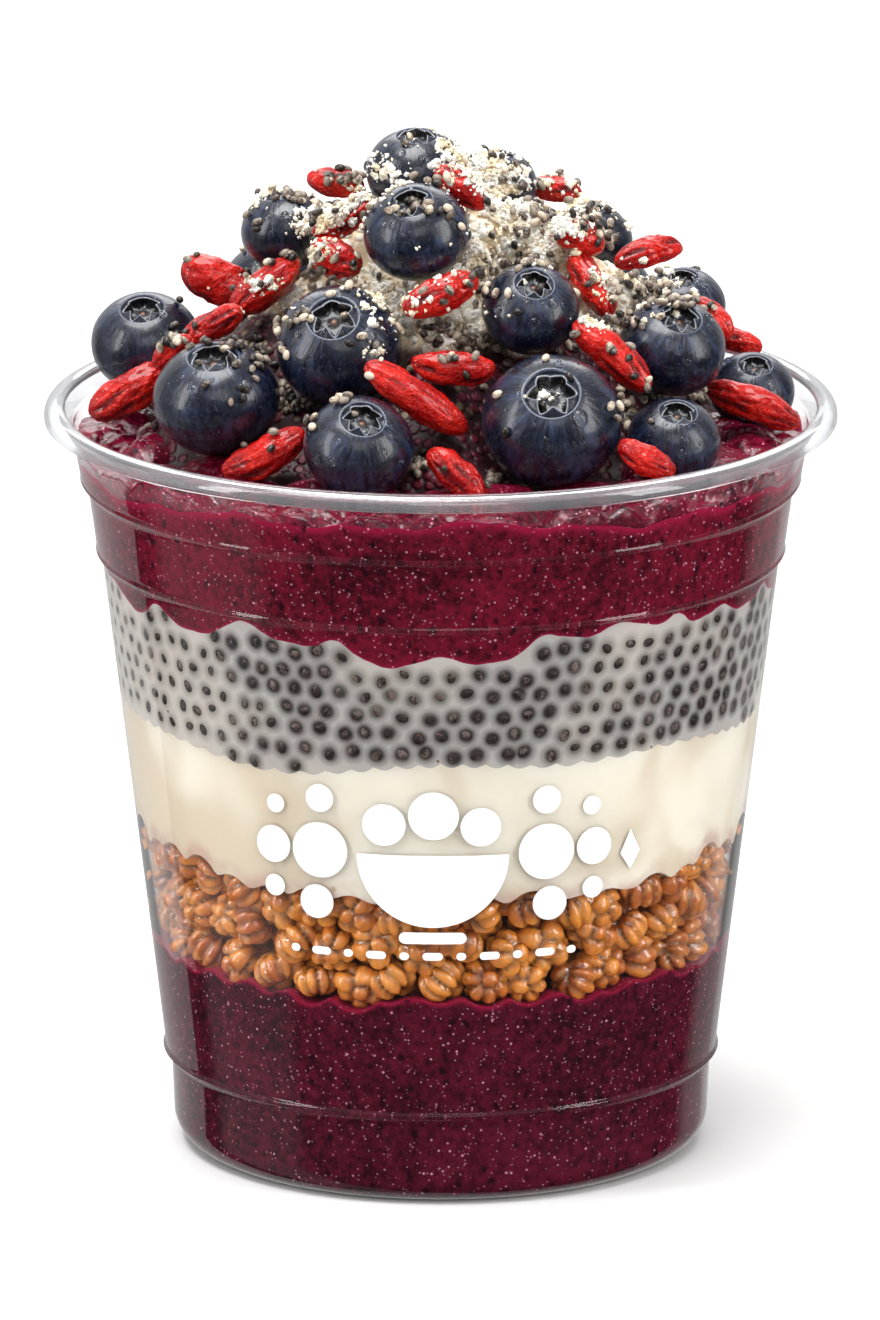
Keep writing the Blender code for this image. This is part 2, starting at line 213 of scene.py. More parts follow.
outer_wall = eased([arc(STAND_OUTER, HEEL, HEEL, -90, 0, 8)[-1]] + beaded(WALL_OUTSIDE[1:])
                   + [(47.0, 92.6)], 0.3)
inner_wall = eased([(46.6, 93.6)] + [(r - WALL, z) for r, z in reversed(WALL_OUTSIDE)], 0.45)
lip = (arc(RIM_RADIUS - 1.5, RIM_TOP - 1.5, 0.95, 130, 0, 6)
       + [(RIM_RADIUS - 0.55, RIM_LIP + 0.1), (RIM_RADIUS - 0.3, RIM_LIP), (RIM_RADIUS, RIM_LIP + 0.2)]
       + arc(RIM_RADIUS - 1.5, RIM_TOP - 1.5, 1.5, 0, 100, 10))
section = ([(0, FLOOR_RISE), (STAND_INNER - FLOOR_RISE, FLOOR_RISE), (STAND_INNER, 0)]
           + arc(STAND_OUTER, HEEL, HEEL, -90, 0, 8) + outer_wall[1:] + lip + inner_wall
           + arc(STAND_OUTER, HEEL, HEEL - WALL, 0, -90, 8)[1:]
           + [(STAND_INNER, WALL), (STAND_INNER - FLOOR_RISE, FLOOR_RISE + FLOOR_THICKNESS),
              (0, FLOOR_RISE + FLOOR_THICKNESS)])
cup = finish_piece("clear_cup", spun(section), clear_plastic(), smooth=50)
cup.data.materials.append(rolled_lip())
for face in cup.data.polygons:
    if face.center.z > (RIM_LIP - 0.1) * MM:
        face.material_index = 1
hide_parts("cup")


# ---- Puree at the foot -----------------------------------------------------------------------
# Frozen acai puree packed in first: a dense purple-red mass with bits of skin, and pale specks painted in as
# glints of light.
# It wets the wall; the granola dropped on it dents its edge.
WETS_WALL = 0.07           # how far a filling stands in the wall, so that no air shows
FILL_SIDES = 360


def smooth_step(low, high, value):
    t = min(max((value - low) / (high - low), 0.0), 1.0)
    return t * t * (3 - 2 * t)


def place_on(theta, radius, z):
    """A point round the axis; theta is 0 at the front and grows towards +X."""
    return Vector((radius * math.sin(theta), -radius * math.cos(theta), z))


def cluster_seats():
    """Granola clusters against the wall: angle, height and half size, row by row."""
    pick = random.Random(11)
    seats = []
    for row, (height, count) in enumerate(((28.4, 38), (33.2, 39), (38.0, 41))):
        for i in range(count):
            theta = 2 * math.pi * (i + 0.5 * (row % 2) + pick.uniform(-0.2, 0.2)) / count
            side = 2.6 * math.sin(theta) ** 4
            size = pick.uniform(2.75, 3.35)
            seats.append((theta, height + side * (0.6 + 0.2 * row) + pick.uniform(-0.9, 0.9), size))
    return seats


CLUSTERS = cluster_seats()


def edge_round_clusters(base, sign):
    """The line a soft layer makes against granola: it closes round the last row of clusters."""
    samples = []
    for i in range(720):
        theta = 2 * math.pi * i / 720
        level = base
        for seat, z, size in CLUSTERS:
            off = (theta - seat + math.pi) % (2 * math.pi) - math.pi
            across = off * (outside(z) - WALL)
            if abs(across) < size:
                bulge = z + sign * 0.84 * math.sqrt(size ** 2 - across ** 2)
                level = max(level, bulge) if sign > 0 else min(level, bulge)
        samples.append(level)
    softened = [sum(samples[(i + k) % 720] for k in range(-2, 3)) / 5 for i in range(720)]

    def level_at(theta):
        spot = theta / (2 * math.pi) * 720 % 720
        i = int(spot)
        return softened[i] + (softened[(i + 1) % 720] - softened[i]) * (spot - i)
    return level_at


BASE_EDGE = edge_round_clusters(27.2, -1)
GRANOLA_EDGE = edge_round_clusters(39.6, 1)


def filling(bottom, top, rows, bottom_mean, top_mean, sides=FILL_SIDES, reach=WETS_WALL):
    """A layer that fills the cup between two edges, each a height as a function of the angle."""
    across = [(0, 0), (0.6, 0), (0.85, 0), (0.97, 0)]
    up = [(1, i / rows) for i in range(rows + 1)]
    bm = spun([(r * 10, z) for r, z in across + up + [(r, 1) for r, z in reversed(across)]], sides)
    for v in bm.verts:
        share, height = v.co.xy.length / 10, v.co.z
        theta = math.atan2(v.co.x, -v.co.y)
        low, high = bottom(theta), top(theta)
        fade = smooth_step(0.6, 1.0, share)
        low = bottom_mean + (low - bottom_mean) * fade
        high = top_mean + (high - top_mean) * fade
        z = low + (high - low) * height
        radius = share * (outside(z) - WALL + reach)
        v.co = place_on(theta, radius, z)
    return bm


def puree_grain():
    """Painted glints of light, dark bits of skin and slow changes of tone in frozen puree."""
    group = bpy.data.node_groups.new("puree_grain", "ShaderNodeTree")
    for name, kind, way in (("Deep", "NodeSocketColor", "INPUT"), ("Bright", "NodeSocketColor", "INPUT"),
                            ("Painted sparkle", "NodeSocketColor", "INPUT"), ("Edge", "NodeSocketFloat", "INPUT"),
                            ("Color", "NodeSocketColor", "OUTPUT"),
                            ("Height", "NodeSocketFloat", "OUTPUT")):
        group.interface.new_socket(name, in_out=way, socket_type=kind)
    given, out = group.nodes.new("NodeGroupInput"), group.nodes.new("NodeGroupOutput")
    place = node(group, "ShaderNodeTexCoord").outputs["Object"]
    cloud = node(group, "ShaderNodeTexNoise", {"Vector": place, "Scale": 90.0, "Detail": 3.0})
    mottle = node(group, "ShaderNodeTexNoise", {"Vector": place, "Scale": 900.0, "Detail": 4.0,
                                                "Roughness": 0.75})
    mixed = math_node(group, "ADD", math_node(group, "MULTIPLY", cloud.outputs[0], 0.3),
                      math_node(group, "MULTIPLY", mottle.outputs[0], 0.7))
    body = blend_colours(group, band(group, mixed, 0.36, 0.62), given.outputs["Deep"],
                         given.outputs["Bright"])
    edged = blend_colours(group, given.outputs["Edge"], body, tone(144, 18, 56))
    leaning = node(group, "ShaderNodeMapping", {"Vector": place, "Rotation": (0.9, 0.7, 0.3),
                                                "Scale": (1.2, 1.0, 0.8)})
    ragged = node(group, "ShaderNodeVectorMath", {0: node(
        group, "ShaderNodeTexNoise", {"Vector": place, "Scale": 1500.0}).outputs["Color"],
        1: (0.0012, 0.0012, 0.0012)}, operation="MULTIPLY")
    torn = node(group, "ShaderNodeVectorMath", {0: leaning.outputs[0], 1: ragged.outputs[0]})
    skins = node(group, "ShaderNodeTexVoronoi", {"Vector": torn.outputs[0], "Scale": 560.0})
    chosen = band(group, node(group, "ShaderNodeSeparateColor", {0: skins.outputs["Color"]}).outputs[0],
                  0.42, 0.5)
    skin = math_node(group, "MULTIPLY", chosen, band(group, math_node(
        group, "ADD", skins.outputs["Distance"], math_node(group, "MULTIPLY", mottle.outputs[0], 0.3)),
        0.5, 0.28))
    darker = blend_colours(group, math_node(group, "MULTIPLY", skin, 0.85), edged,
                           (0.010, 0.001, 0.005, 1))
    # Painted glints: pale pink specks on two sizes of cells stand in for sparkles of light on the wet puree.
    sparkle_cells = node(group, "ShaderNodeTexVoronoi", {"Vector": place, "Scale": 980.0})
    lit = band(group, node(group, "ShaderNodeSeparateColor", {0: sparkle_cells.outputs["Color"]}).outputs[1],
               0.35, 0.9)
    dust = node(group, "ShaderNodeTexVoronoi", {"Vector": place, "Scale": 1900.0})
    fine_sparkle = band(group, node(group, "ShaderNodeSeparateColor", {0: dust.outputs["Color"]}).outputs[1],
                0.5, 1.2)
    painted_sparkle = math_node(group, "MAXIMUM", math_node(
        group, "MULTIPLY", lit, band(group, sparkle_cells.outputs["Distance"], 0.2, 0.06)), math_node(
        group, "MULTIPLY", fine_sparkle, band(group, dust.outputs["Distance"], 0.3, 0.1)))
    done = blend_colours(group, painted_sparkle, darker, given.outputs["Painted sparkle"])
    group.links.new(done, out.inputs["Color"])
    group.links.new(mixed, out.inputs["Height"])
    return group


PUREE_GRAIN = puree_grain()


def puree(name, deep, bright, roughness, bump, shine=0.15):
    mat, tree, shader = new_material(name, Roughness=roughness, IOR=1.4, Subsurface_Weight=0.12,
                                     Subsurface_Scale=0.0015, Specular_IOR_Level=shine)
    shader.inputs["Subsurface Radius"].default_value = (1.0, 0.15, 0.3)
    grain = node(tree, "ShaderNodeGroup", node_tree=PUREE_GRAIN)
    # The pale pink set here is the colour of the painted glints.
    for key, value in (("Deep", deep), ("Bright", bright), ("Painted sparkle", tone(226, 160, 186))):
        grain.inputs[key].default_value = value
    rim = node(tree, "ShaderNodeAttribute", attribute_name="smeared_edge").outputs["Fac"]
    tree.links.new(rim, grain.inputs["Edge"])
    relief = node(tree, "ShaderNodeBump", {"Height": grain.outputs["Height"], "Strength": bump,
                                           "Distance": 0.0004})
    tree.links.new(grain.outputs["Color"], shader.inputs["Base Color"])
    tree.links.new(relief.outputs[0], shader.inputs["Normal"])
    return mat


def mark_edge(bm, level, width):
    """Stores how close each point lies to the thin, paler edge of the puree."""
    layer = bm.verts.layers.float.new("smeared_edge")
    for v in bm.verts:
        away = abs(v.co.z - level(math.atan2(v.co.x, -v.co.y)))
        v[layer] = smooth_step(width, 0.1 * width, away)
    return bm


def base_filling():
    """The foot of the first layer follows the heel and the raised floor of the cup."""
    bm = filling(lambda theta: FLOOR_RISE + FLOOR_THICKNESS - 0.1, BASE_EDGE, 44,
                 FLOOR_RISE + FLOOR_THICKNESS - 0.1, 25.0)
    for v in bm.verts:
        radius = v.co.xy.length
        if v.co.z < 4 and radius > STAND_INNER:
            v.co.z -= (FLOOR_RISE + 0.05) * (4 - v.co.z) / 2.3 * smooth_step(23.5, 25, radius)
            grown = (outside(v.co.z) - WALL + WETS_WALL) / (outside(1.7) - WALL)
            v.co.xy *= min(grown, 1.0) if v.co.z < 1.7 else 1.0
    return bm


BASE_PUREE = puree("acai_puree", tone(40, 4, 17), tone(96, 17, 40), 0.4, 0.25)
base = finish_piece("acai_foot", mark_edge(base_filling(), BASE_EDGE, 0.32), BASE_PUREE)
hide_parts("acai_base")


# ---- Granola ---------------------------------------------------------------------------------
# Baked clusters about 6 mm across, each a knot of folded, honey-glazed flakes. They lie dry and
# loose, so dark gaps stay between them; a rough core stands for the clusters out of sight.
def petal_seats(pick, rosette):
    """Where the petals of a cluster grow from: way out, way along, stretch."""
    seats = []
    if rosette:
        count = pick.randint(5, 7)
        for i in range(count):
            turn = 2 * math.pi * (i + pick.uniform(-0.15, 0.15)) / count
            out = Vector((math.cos(turn), math.sin(turn), pick.uniform(0.3, 0.6))).normalized()
            seats.append((out, Vector((0, 0, 1)), 2.3))
        seats.append((Vector((pick.uniform(-0.3, 0.3), 0.2, 1)).normalized(), Vector((1, 0, 0)), 0.8))
    else:
        for i in range(5):
            tilt = math.radians(-72 + 36 * i + pick.uniform(-7, 7))
            out = Vector((math.sin(tilt), pick.uniform(-0.35, 0.35), math.cos(tilt))).normalized()
            seats.append((out, Vector((pick.uniform(-0.35, 0.35), 1, 0)), 2.6))
    for _ in range(4):
        low = Vector((pick.gauss(0, 1), pick.gauss(0, 1), -abs(pick.gauss(0.6, 0.5))))
        seats.append((low.normalized(), Vector((0, 0, 1)), 1.4))
    return [(out, along.normalized(), stretch, pick.uniform(-0.10, 0.08))
            for out, along, stretch in seats]


def cluster_shape(seed, rosette, cuts):
    """One cluster of unit size: a ball swollen into folded petals with sharp creases between."""
    pick = random.Random(seed)
    bm = bmesh.new()
    bmesh.ops.create_icosphere(bm, subdivisions=cuts, radius=1.0)
    painted_crease_shade = bm.verts.layers.float.new("painted_crease_shade")
    petals = petal_seats(pick, rosette)
    for v in bm.verts:
        way = v.co.normalized()
        reaches = []
        for out, along, stretch, proud in petals:
            off = way - out
            line = off.dot(along)
            rest = (off - along * line).length
            reaches.append((math.sqrt((line / stretch) ** 2 + rest ** 2), proud))
        reaches.sort()
        (near, proud), (second, _) = reaches[0], reaches[1]
        fold = 1 - math.exp(-(second - near) / 0.12)
        dome = 0.14 * min(near / 0.6, 1.2) ** 2
        # Kept for the colour: the creases between petals are darkened there as painted shade.
        v[painted_crease_shade] = 1 - fold
        v.co = way * (0.72 + 0.32 * fold - dome + proud
                      + 0.05 * noise.noise(way * 6 + Vector((seed, 0, 0))))
    shape = bpy.data.meshes.new("cluster")
    bm.to_mesh(shape)
    bm.free()
    return shape


def strewn(shapes, places):
    """One mesh of many copies: each place is a number of a shape and the matrix that sets it."""
    bm = bmesh.new()
    for which, matrix in places:
        moved = shapes[which].copy()
        moved.transform(matrix)
        bm.from_mesh(moved)
        bpy.data.meshes.remove(moved)
    return bm


def facing(way, turn):
    """A rotation that points local Z along way, turned about it."""
    return way.to_track_quat("Z", "Y").to_matrix().to_4x4() @ Matrix.Rotation(turn, 4, "Z")


def granola_places(pick):
    places = []
    for theta, z, size in CLUSTERS:
        out = place_on(theta, 1, 0)
        lean = (out + Vector([pick.uniform(-0.45, 0.45) for _ in range(3)])).normalized()
        centre = place_on(theta, outside(z) - WALL - 0.93 * size, z)
        squash = Matrix.Diagonal((size * 1.06, size * pick.uniform(0.92, 1.06), size * 0.97, 1))
        places.append((pick.randrange(6), Matrix.Translation(centre)
                       @ facing(lean, pick.uniform(0, 6.28)) @ squash))
    return places


def granola_glaze():
    mat, tree, shader = new_material("glazed_granola", Roughness=0.3, Specular_IOR_Level=0.6,
                                     Coat_Weight=1.0, Coat_Roughness=0.07, Coat_IOR=1.8,
                                     Subsurface_Weight=0.1, Subsurface_Scale=0.0012)
    shader.inputs["Subsurface Radius"].default_value = (1.0, 0.5, 0.2)
    place = node(tree, "ShaderNodeTexCoord").outputs["Object"]
    toast = node(tree, "ShaderNodeTexNoise", {"Vector": place, "Scale": 190.0, "Detail": 2.0})
    fine = node(tree, "ShaderNodeTexNoise", {"Vector": place, "Scale": 1000.0, "Detail": 3.0})
    colour = blend_colours(tree, band(tree, toast.outputs[0], 0.36, 0.64), tone(186, 94, 20),
                           tone(236, 148, 48))
    flecked = blend_colours(tree, math_node(tree, "MULTIPLY", band(
        tree, fine.outputs[0], 0.5, 0.72), 0.6), colour, tone(226, 164, 92))
    # Painted shade: the creases between petals are darkened towards dark brown.
    painted_crease_shade = node(tree, "ShaderNodeAttribute", attribute_name="painted_crease_shade").outputs["Fac"]
    deep = blend_colours(tree, painted_crease_shade, flecked, tone(70, 26, 4))
    relief = node(tree, "ShaderNodeBump", {"Height": fine.outputs[0], "Strength": 0.6,
                                           "Distance": 0.0005})
    tree.links.new(deep, shader.inputs["Base Color"])
    tree.links.new(relief.outputs[0], shader.inputs["Normal"])
    return mat


GLAZE = granola_glaze()
knots = [cluster_shape(20 + i, i % 2 == 0, 4) for i in range(6)]
seats = granola_places(random.Random(5))
finish_piece("granola_clusters", strewn(knots, seats), GLAZE, smooth=180,
             recalc=False)


def inner_granola(pick):
    places = []
    for row in range(4):
        for i in range(34):
            theta = 2 * math.pi * (i + 0.5 * (row % 2) + pick.uniform(-0.2, 0.2)) / 34
            z = 28.2 + 3.6 * row + pick.uniform(-0.6, 0.6)
            centre = place_on(theta, outside(z) - 6.6, z)
            size = pick.uniform(2.5, 3.1)
            places.append((pick.randrange(4), Matrix.Translation(centre)
                           @ facing(place_on(theta, 1, 0), pick.uniform(0, 6.28))
                           @ Matrix.Scale(size, 4)))
    return places


small_knots = [cluster_shape(40 + i, False, 3) for i in range(4)]
inner_seats = inner_granola(random.Random(6))
finish_piece("granola_behind", strewn(small_knots, inner_seats), GLAZE, smooth=180, recalc=False)


def granola_core():
    bm = filling(lambda theta: 25.2, lambda theta: 40.0, 10, 25.0, 40.4, sides=120, reach=-6.4)
    for v in bm.verts:
        if v.co.xy.length > 20:
            v.co.xy *= 1 + 0.03 * noise.noise(v.co * 0.35)
    return bm


def shaded_crumb():
    mat, tree, shader = new_material("granola_in_shade", Roughness=0.7)
    place = node(tree, "ShaderNodeTexCoord").outputs["Object"]
    grain = node(tree, "ShaderNodeTexNoise", {"Vector": place, "Scale": 500.0, "Detail": 3.0})
    dark = blend_colours(tree, grain.outputs[0], tone(38, 16, 8), tone(92, 46, 18))
    tree.links.new(dark, shader.inputs["Base Color"])
    return mat


core = finish_piece("granola_core", granola_core(), shaded_crumb())
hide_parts("granola")


# ---- Yoghurt ---------------------------------------------------------------------------------
# Thick plain yoghurt spooned over the granola: smooth and cream white, tinted where it has run
# down between the clusters.
def chia_foot(theta):
    """Edge between yoghurt and chia pudding: gentle, bitten into by the outermost seeds."""
    lobes = 0.55 * abs(math.sin(39.5 * theta + 1.4 * math.sin(5 * theta)))
    slow = 0.8 * math.sin(3 * theta + 0.6) + 0.5 * math.sin(7 * theta + 2)
    return 57.3 + slow - lobes + 1.2 * math.sin(theta) ** 8


def soft_yoghurt():
    mat, tree, shader = new_material("yoghurt", Roughness=0.3, Specular_IOR_Level=0.15, Subsurface_Weight=0.25,
                                     Subsurface_Scale=0.003)
    shader.inputs["Subsurface Radius"].default_value = (1.0, 0.8, 0.6)
    place = node(tree, "ShaderNodeTexCoord").outputs["Object"]
    slow = node(tree, "ShaderNodeTexNoise", {"Vector": place, "Scale": 55.0, "Detail": 2.0,
                                             "Distortion": 0.6})
    cream = blend_colours(tree, band(tree, slow.outputs[0], 0.35, 0.62), tone(233, 227, 213),
                          tone(213, 200, 179))
    near = node(tree, "ShaderNodeAttribute", attribute_name="near_granola").outputs["Fac"]
    stain = node(tree, "ShaderNodeTexNoise", {"Vector": place, "Scale": 260.0, "Detail": 2.0})
    stained = math_node(tree, "MULTIPLY", near, band(tree, stain.outputs[0], 0.3, 0.7))
    colour = blend_colours(tree, math_node(tree, "MULTIPLY", stained, 0.6), cream,
                           tone(178, 132, 122))
    flecks = node(tree, "ShaderNodeTexVoronoi", {"Vector": place, "Scale": 160.0})
    chosen = band(tree, node(tree, "ShaderNodeSeparateColor", {0: flecks.outputs["Color"]}).outputs[0],
                  0.8, 0.9)
    fleck = math_node(tree, "MULTIPLY", chosen, band(tree, flecks.outputs["Distance"], 0.1, 0.03))
    done = blend_colours(tree, math_node(tree, "MULTIPLY", fleck, 0.5), colour, tone(170, 130, 70))
    relief = node(tree, "ShaderNodeBump", {"Height": slow.outputs[0], "Strength": 0.15,
                                           "Distance": 0.001})
    tree.links.new(done, shader.inputs["Base Color"])
    tree.links.new(relief.outputs[0], shader.inputs["Normal"])
    return mat


yoghurt_bm = filling(GRANOLA_EDGE, chia_foot, 30, 40.5, 57.0)
stain_layer = yoghurt_bm.verts.layers.float.new("near_granola")
for v in yoghurt_bm.verts:
    v[stain_layer] = smooth_step(2.6, 0.2, v.co.z - GRANOLA_EDGE(math.atan2(v.co.x, -v.co.y)))
yoghurt = finish_piece("yoghurt_layer", yoghurt_bm, soft_yoghurt())
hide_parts("yoghurt")


# ---- Chia pudding ----------------------------------------------------------------------------
# Chia seeds soaked in milk: each dark seed sits in its own ball of clear gel, and the milky
# pudding shows between the balls as a paler net.
SEED_PITCH = 3.05
LOBES = ((-150, 72.6), (-141, 74.6), (-131, 71.9), (-121, 74.9), (-112, 72.2), (-103, 74.2),
         (-94, 71.4), (-84, 74.8), (-72, 73.9), (-62.5, 71.8), (-57.5, 74.7), (-47, 71.8),
         (-36, 75.3), (-24.5, 72.6), (-17.5, 74.1), (-9, 70.5), (-0.8, 72.4), (8, 71.0),
         (17.8, 75.0), (24.5, 73.6), (32.2, 75.5), (39.7, 73.8), (44.4, 75.2), (48.8, 73.0),
         (55.5, 74.5), (63, 72.6), (72, 74.4), (82, 71.8), (93, 74.9), (104, 72.3), (114, 74.4),
         (126, 71.5), (137, 74.7), (148, 72.1), (160, 75.0), (171, 71.9), (183, 74.5), (195, 72.0),
         (205, 74.1))


def chia_top(theta):
    """Edge under the top puree: it sags in rounded lobes that meet in blunt points."""
    return sum(lobe_edge(theta + math.radians(0.7 * k)) for k in range(-2, 3)) / 5


def lobe_edge(theta):
    turn = (math.degrees(theta) + 180) % 360 - 180
    if turn < LOBES[0][0]:
        turn += 360
    for (a0, z0), (a1, z1) in zip(LOBES, LOBES[1:]):
        if turn <= a1:
            t = (turn - a0) / (a1 - a0)
            fine = 0.18 * math.sin(turn * 0.9) + 0.12 * math.sin(turn * 2.3)
            rise = t if z1 > z0 else 1 - t
            return min(z0, z1) + abs(z1 - z0) * (0.8 * rise ** 2.4 + 0.2 * rise) + fine
    return LOBES[-1][1] + (LOBES[0][1] - LOBES[-1][1]) * (turn - LOBES[-1][0]) / (
        LOBES[0][0] + 360 - LOBES[-1][0])


def soaked_seeds(pick):
    """Seeds that press on the wall, in a loose honeycomb: angle, height, length and turn."""
    found = []
    for row in range(9):
        z = 56.6 + row * SEED_PITCH * 0.84
        count = round(2 * math.pi * (outside(z) - WALL) / SEED_PITCH)
        for i in range(count):
            theta = 2 * math.pi * (i + 0.5 * (row % 2)) / count + pick.gauss(0, 0.006)
            height = z + pick.gauss(0, 0.28) + 1.1 * math.sin(theta) ** 8
            theta = (theta + math.pi) % (2 * math.pi) - math.pi
            if chia_foot(theta) + 0.5 < height < chia_top(theta) - 0.4:
                found.append((theta, height, pick.uniform(1.4, 1.85), pick.uniform(0, math.pi)))
    return found


SOAKED = soaked_seeds(random.Random(3))


def milky_gel():
    mat, tree, shader = new_material("chia_gel", Roughness=0.22, Specular_IOR_Level=0.2, Subsurface_Weight=0.15,
                                     Subsurface_Scale=0.0015)
    place = node(tree, "ShaderNodeTexCoord").outputs["Object"]
    away = node(tree, "ShaderNodeAttribute", attribute_name="from_seed").outputs["Fac"]
    soft = node(tree, "ShaderNodeTexNoise", {"Vector": place, "Scale": 700.0, "Detail": 2.0})
    wander = math_node(tree, "ADD", away, math_node(tree, "MULTIPLY", math_node(
        tree, "SUBTRACT", soft.outputs[0], 0.5), 0.35))
    ring = blend_colours(tree, band(tree, wander, 0.6, 1.4), tone(54, 48, 46), tone(153, 148, 145))
    colour = blend_colours(tree, band(tree, wander, 1.3, 1.9), ring, tone(182, 177, 173))
    warm = node(tree, "ShaderNodeTexNoise", {"Vector": place, "Scale": 45.0})
    shaded = blend_colours(tree, band(tree, warm.outputs[0], 0.4, 0.6), colour,
                           blend_colours(tree, 0.5, colour, tone(214, 206, 196)))
    specks = node(tree, "ShaderNodeTexVoronoi", {"Vector": place, "Scale": 420.0})
    pickable = node(tree, "ShaderNodeSeparateColor", {0: specks.outputs["Color"]})
    speck = math_node(tree, "MULTIPLY", band(tree, pickable.outputs[0], 0.72, 0.8),
                      band(tree, specks.outputs["Distance"], 0.12, 0.05))
    rust = blend_colours(tree, pickable.outputs[1], tone(150, 88, 40), tone(46, 34, 32))
    done = blend_colours(tree, speck, shaded, rust)
    relief = node(tree, "ShaderNodeBump", {"Height": away, "Strength": 0.2, "Distance": 0.0006},
                  invert=True)
    tree.links.new(done, shader.inputs["Base Color"])
    tree.links.new(relief.outputs[0], shader.inputs["Normal"])
    return mat


gel_bm = filling(chia_foot, chia_top, 44, 57.0, 73.3, sides=720)
tree_of_seeds = kdtree.KDTree(len(SOAKED))
for number, (theta, z, length, turn) in enumerate(SOAKED):
    tree_of_seeds.insert(place_on(theta, outside(z) - WALL, z), number)
tree_of_seeds.balance()
away_layer = gel_bm.verts.layers.float.new("from_seed")
for v in gel_bm.verts:
    v[away_layer] = min(tree_of_seeds.find(v.co)[2], 3.0)
gel = finish_piece("chia_gel", gel_bm, milky_gel())
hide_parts("chia_pudding")


def seed_shape(subdivisions=2):
    """A chia seed of unit length: an oval, a little flat and blunt at one end."""
    bm = bmesh.new()
    bmesh.ops.create_icosphere(bm, subdivisions=subdivisions, radius=0.5)
    for v in bm.verts:
        slim = 0.68 - 0.14 * v.co.x
        v.co.y *= slim
        v.co.z *= slim * 0.9
    shape = bpy.data.meshes.new("seed")
    bm.to_mesh(shape)
    bm.free()
    return shape


def seed_coat(name, dark, light, share, roughness=0.35):
    """Glossy seed coat, marbled with fine darker lines."""
    mat, tree, shader = new_material(name, Roughness=roughness, Specular_IOR_Level=0.5)
    place = node(tree, "ShaderNodeTexCoord").outputs["Object"]
    lot = node(tree, "ShaderNodeTexNoise", {"Vector": place, "Scale": 600.0, "Detail": 0.0})
    marble = node(tree, "ShaderNodeTexNoise", {"Vector": place, "Scale": 3200.0, "Detail": 2.0,
                                               "Distortion": 1.5})
    mixed = math_node(tree, "ADD", math_node(tree, "MULTIPLY", lot.outputs[0], 0.5),
                      math_node(tree, "MULTIPLY", marble.outputs[0], 0.5))
    colour = blend_colours(tree, band(tree, mixed, share - 0.07, share + 0.07), dark, light)
    relief = node(tree, "ShaderNodeBump", {"Height": marble.outputs[0], "Strength": 0.2,
                                           "Distance": 0.0001})
    tree.links.new(colour, shader.inputs["Base Color"])
    tree.links.new(relief.outputs[0], shader.inputs["Normal"])
    return mat


soaked_places = []
for theta, z, length, turn in SOAKED:
    out = place_on(theta, 1, 0)
    flat = Matrix.Diagonal((length, length * 1.05, length * 0.7, 1))
    soaked_places.append((0, Matrix.Translation(place_on(theta, outside(z) - WALL - 0.04, z))
                          @ facing(out, turn) @ flat))
finish_piece("soaked_seeds", strewn([seed_shape()], soaked_places),
             seed_coat("soaked_seed", tone(44, 35, 33), tone(112, 98, 92), 0.56, 0.22),
             smooth=180, recalc=False)


# ---- Top puree -------------------------------------------------------------------------------
# The last scoops of acai: the edge is smeared up the wall, and the open surface is a ring of
# glossy rounded lumps around the toppings.
def smear_top(theta):
    """How high the puree is smeared on the wall."""
    slow = 0.9 * math.sin(3 * theta + 1.8) + 0.45 * math.sin(8 * theta + 0.5)
    return 88.5 + slow + 0.35 * math.sin(19 * theta) + 0.15 * math.sin(41 * theta)


def top_filling():
    """The wall part rises to the smear; the open surface dips inside it."""
    rows, shares = 40, (0.985, 0.965, 0.94, 0.9, 0.86, 0.82, 0.77, 0.7, 0.6, 0.45, 0.25, 0.1)
    line = [(0, 0), (6, 0), (8.5, 0), (9.7, 0)] + [(10, i / rows) for i in range(rows + 1)]
    bm = spun(line + [(10 * s, 1 + i + 1) for i, s in enumerate(shares)] + [(0, 20)], FILL_SIDES)
    for v in bm.verts:
        share, height = v.co.xy.length / 10, v.co.z
        theta = math.atan2(v.co.x, -v.co.y)
        if height <= 1.0001:
            low = 73.3 + (chia_top(theta) - 73.3) * smooth_step(0.6, 1, share)
            z = low + (smear_top(theta) - low) * height
            v.co = place_on(theta, share * (outside(z) - WALL + WETS_WALL), z)
        else:
            dip = 1.6 * smooth_step(1.0, 0.93, share)
            radius = share * (outside(88) - WALL)
            spot = place_on(theta, radius, 0)
            lump = noise.noise(spot * 0.22) * 1.3 * smooth_step(1.0, 0.95, share)
            z = smear_top(theta) + (88.0 - smear_top(theta)) * smooth_step(1.0, 0.95, share)
            v.co = place_on(theta, radius, z - dip + lump)
    return bm


def top_edges(theta_point):
    """Both edges of the top layer on the wall carry the paler line."""
    theta = math.atan2(theta_point.x, -theta_point.y)
    return min(abs(theta_point.z - chia_top(theta)),
               0.4 * abs(theta_point.z - smear_top(theta)) if theta_point.z > 80 else 9.0)


TOP_PUREE = puree("acai_puree_top", tone(52, 3, 15), tone(122, 16, 43), 0.32, 0.25)
top_bm = top_filling()
top_layer = top_bm.verts.layers.float.new("smeared_edge")
for v in top_bm.verts:
    v[top_layer] = smooth_step(0.55, 0.05, top_edges(v.co))
top = finish_piece("acai_crown", top_bm, TOP_PUREE)
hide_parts("acai_top")


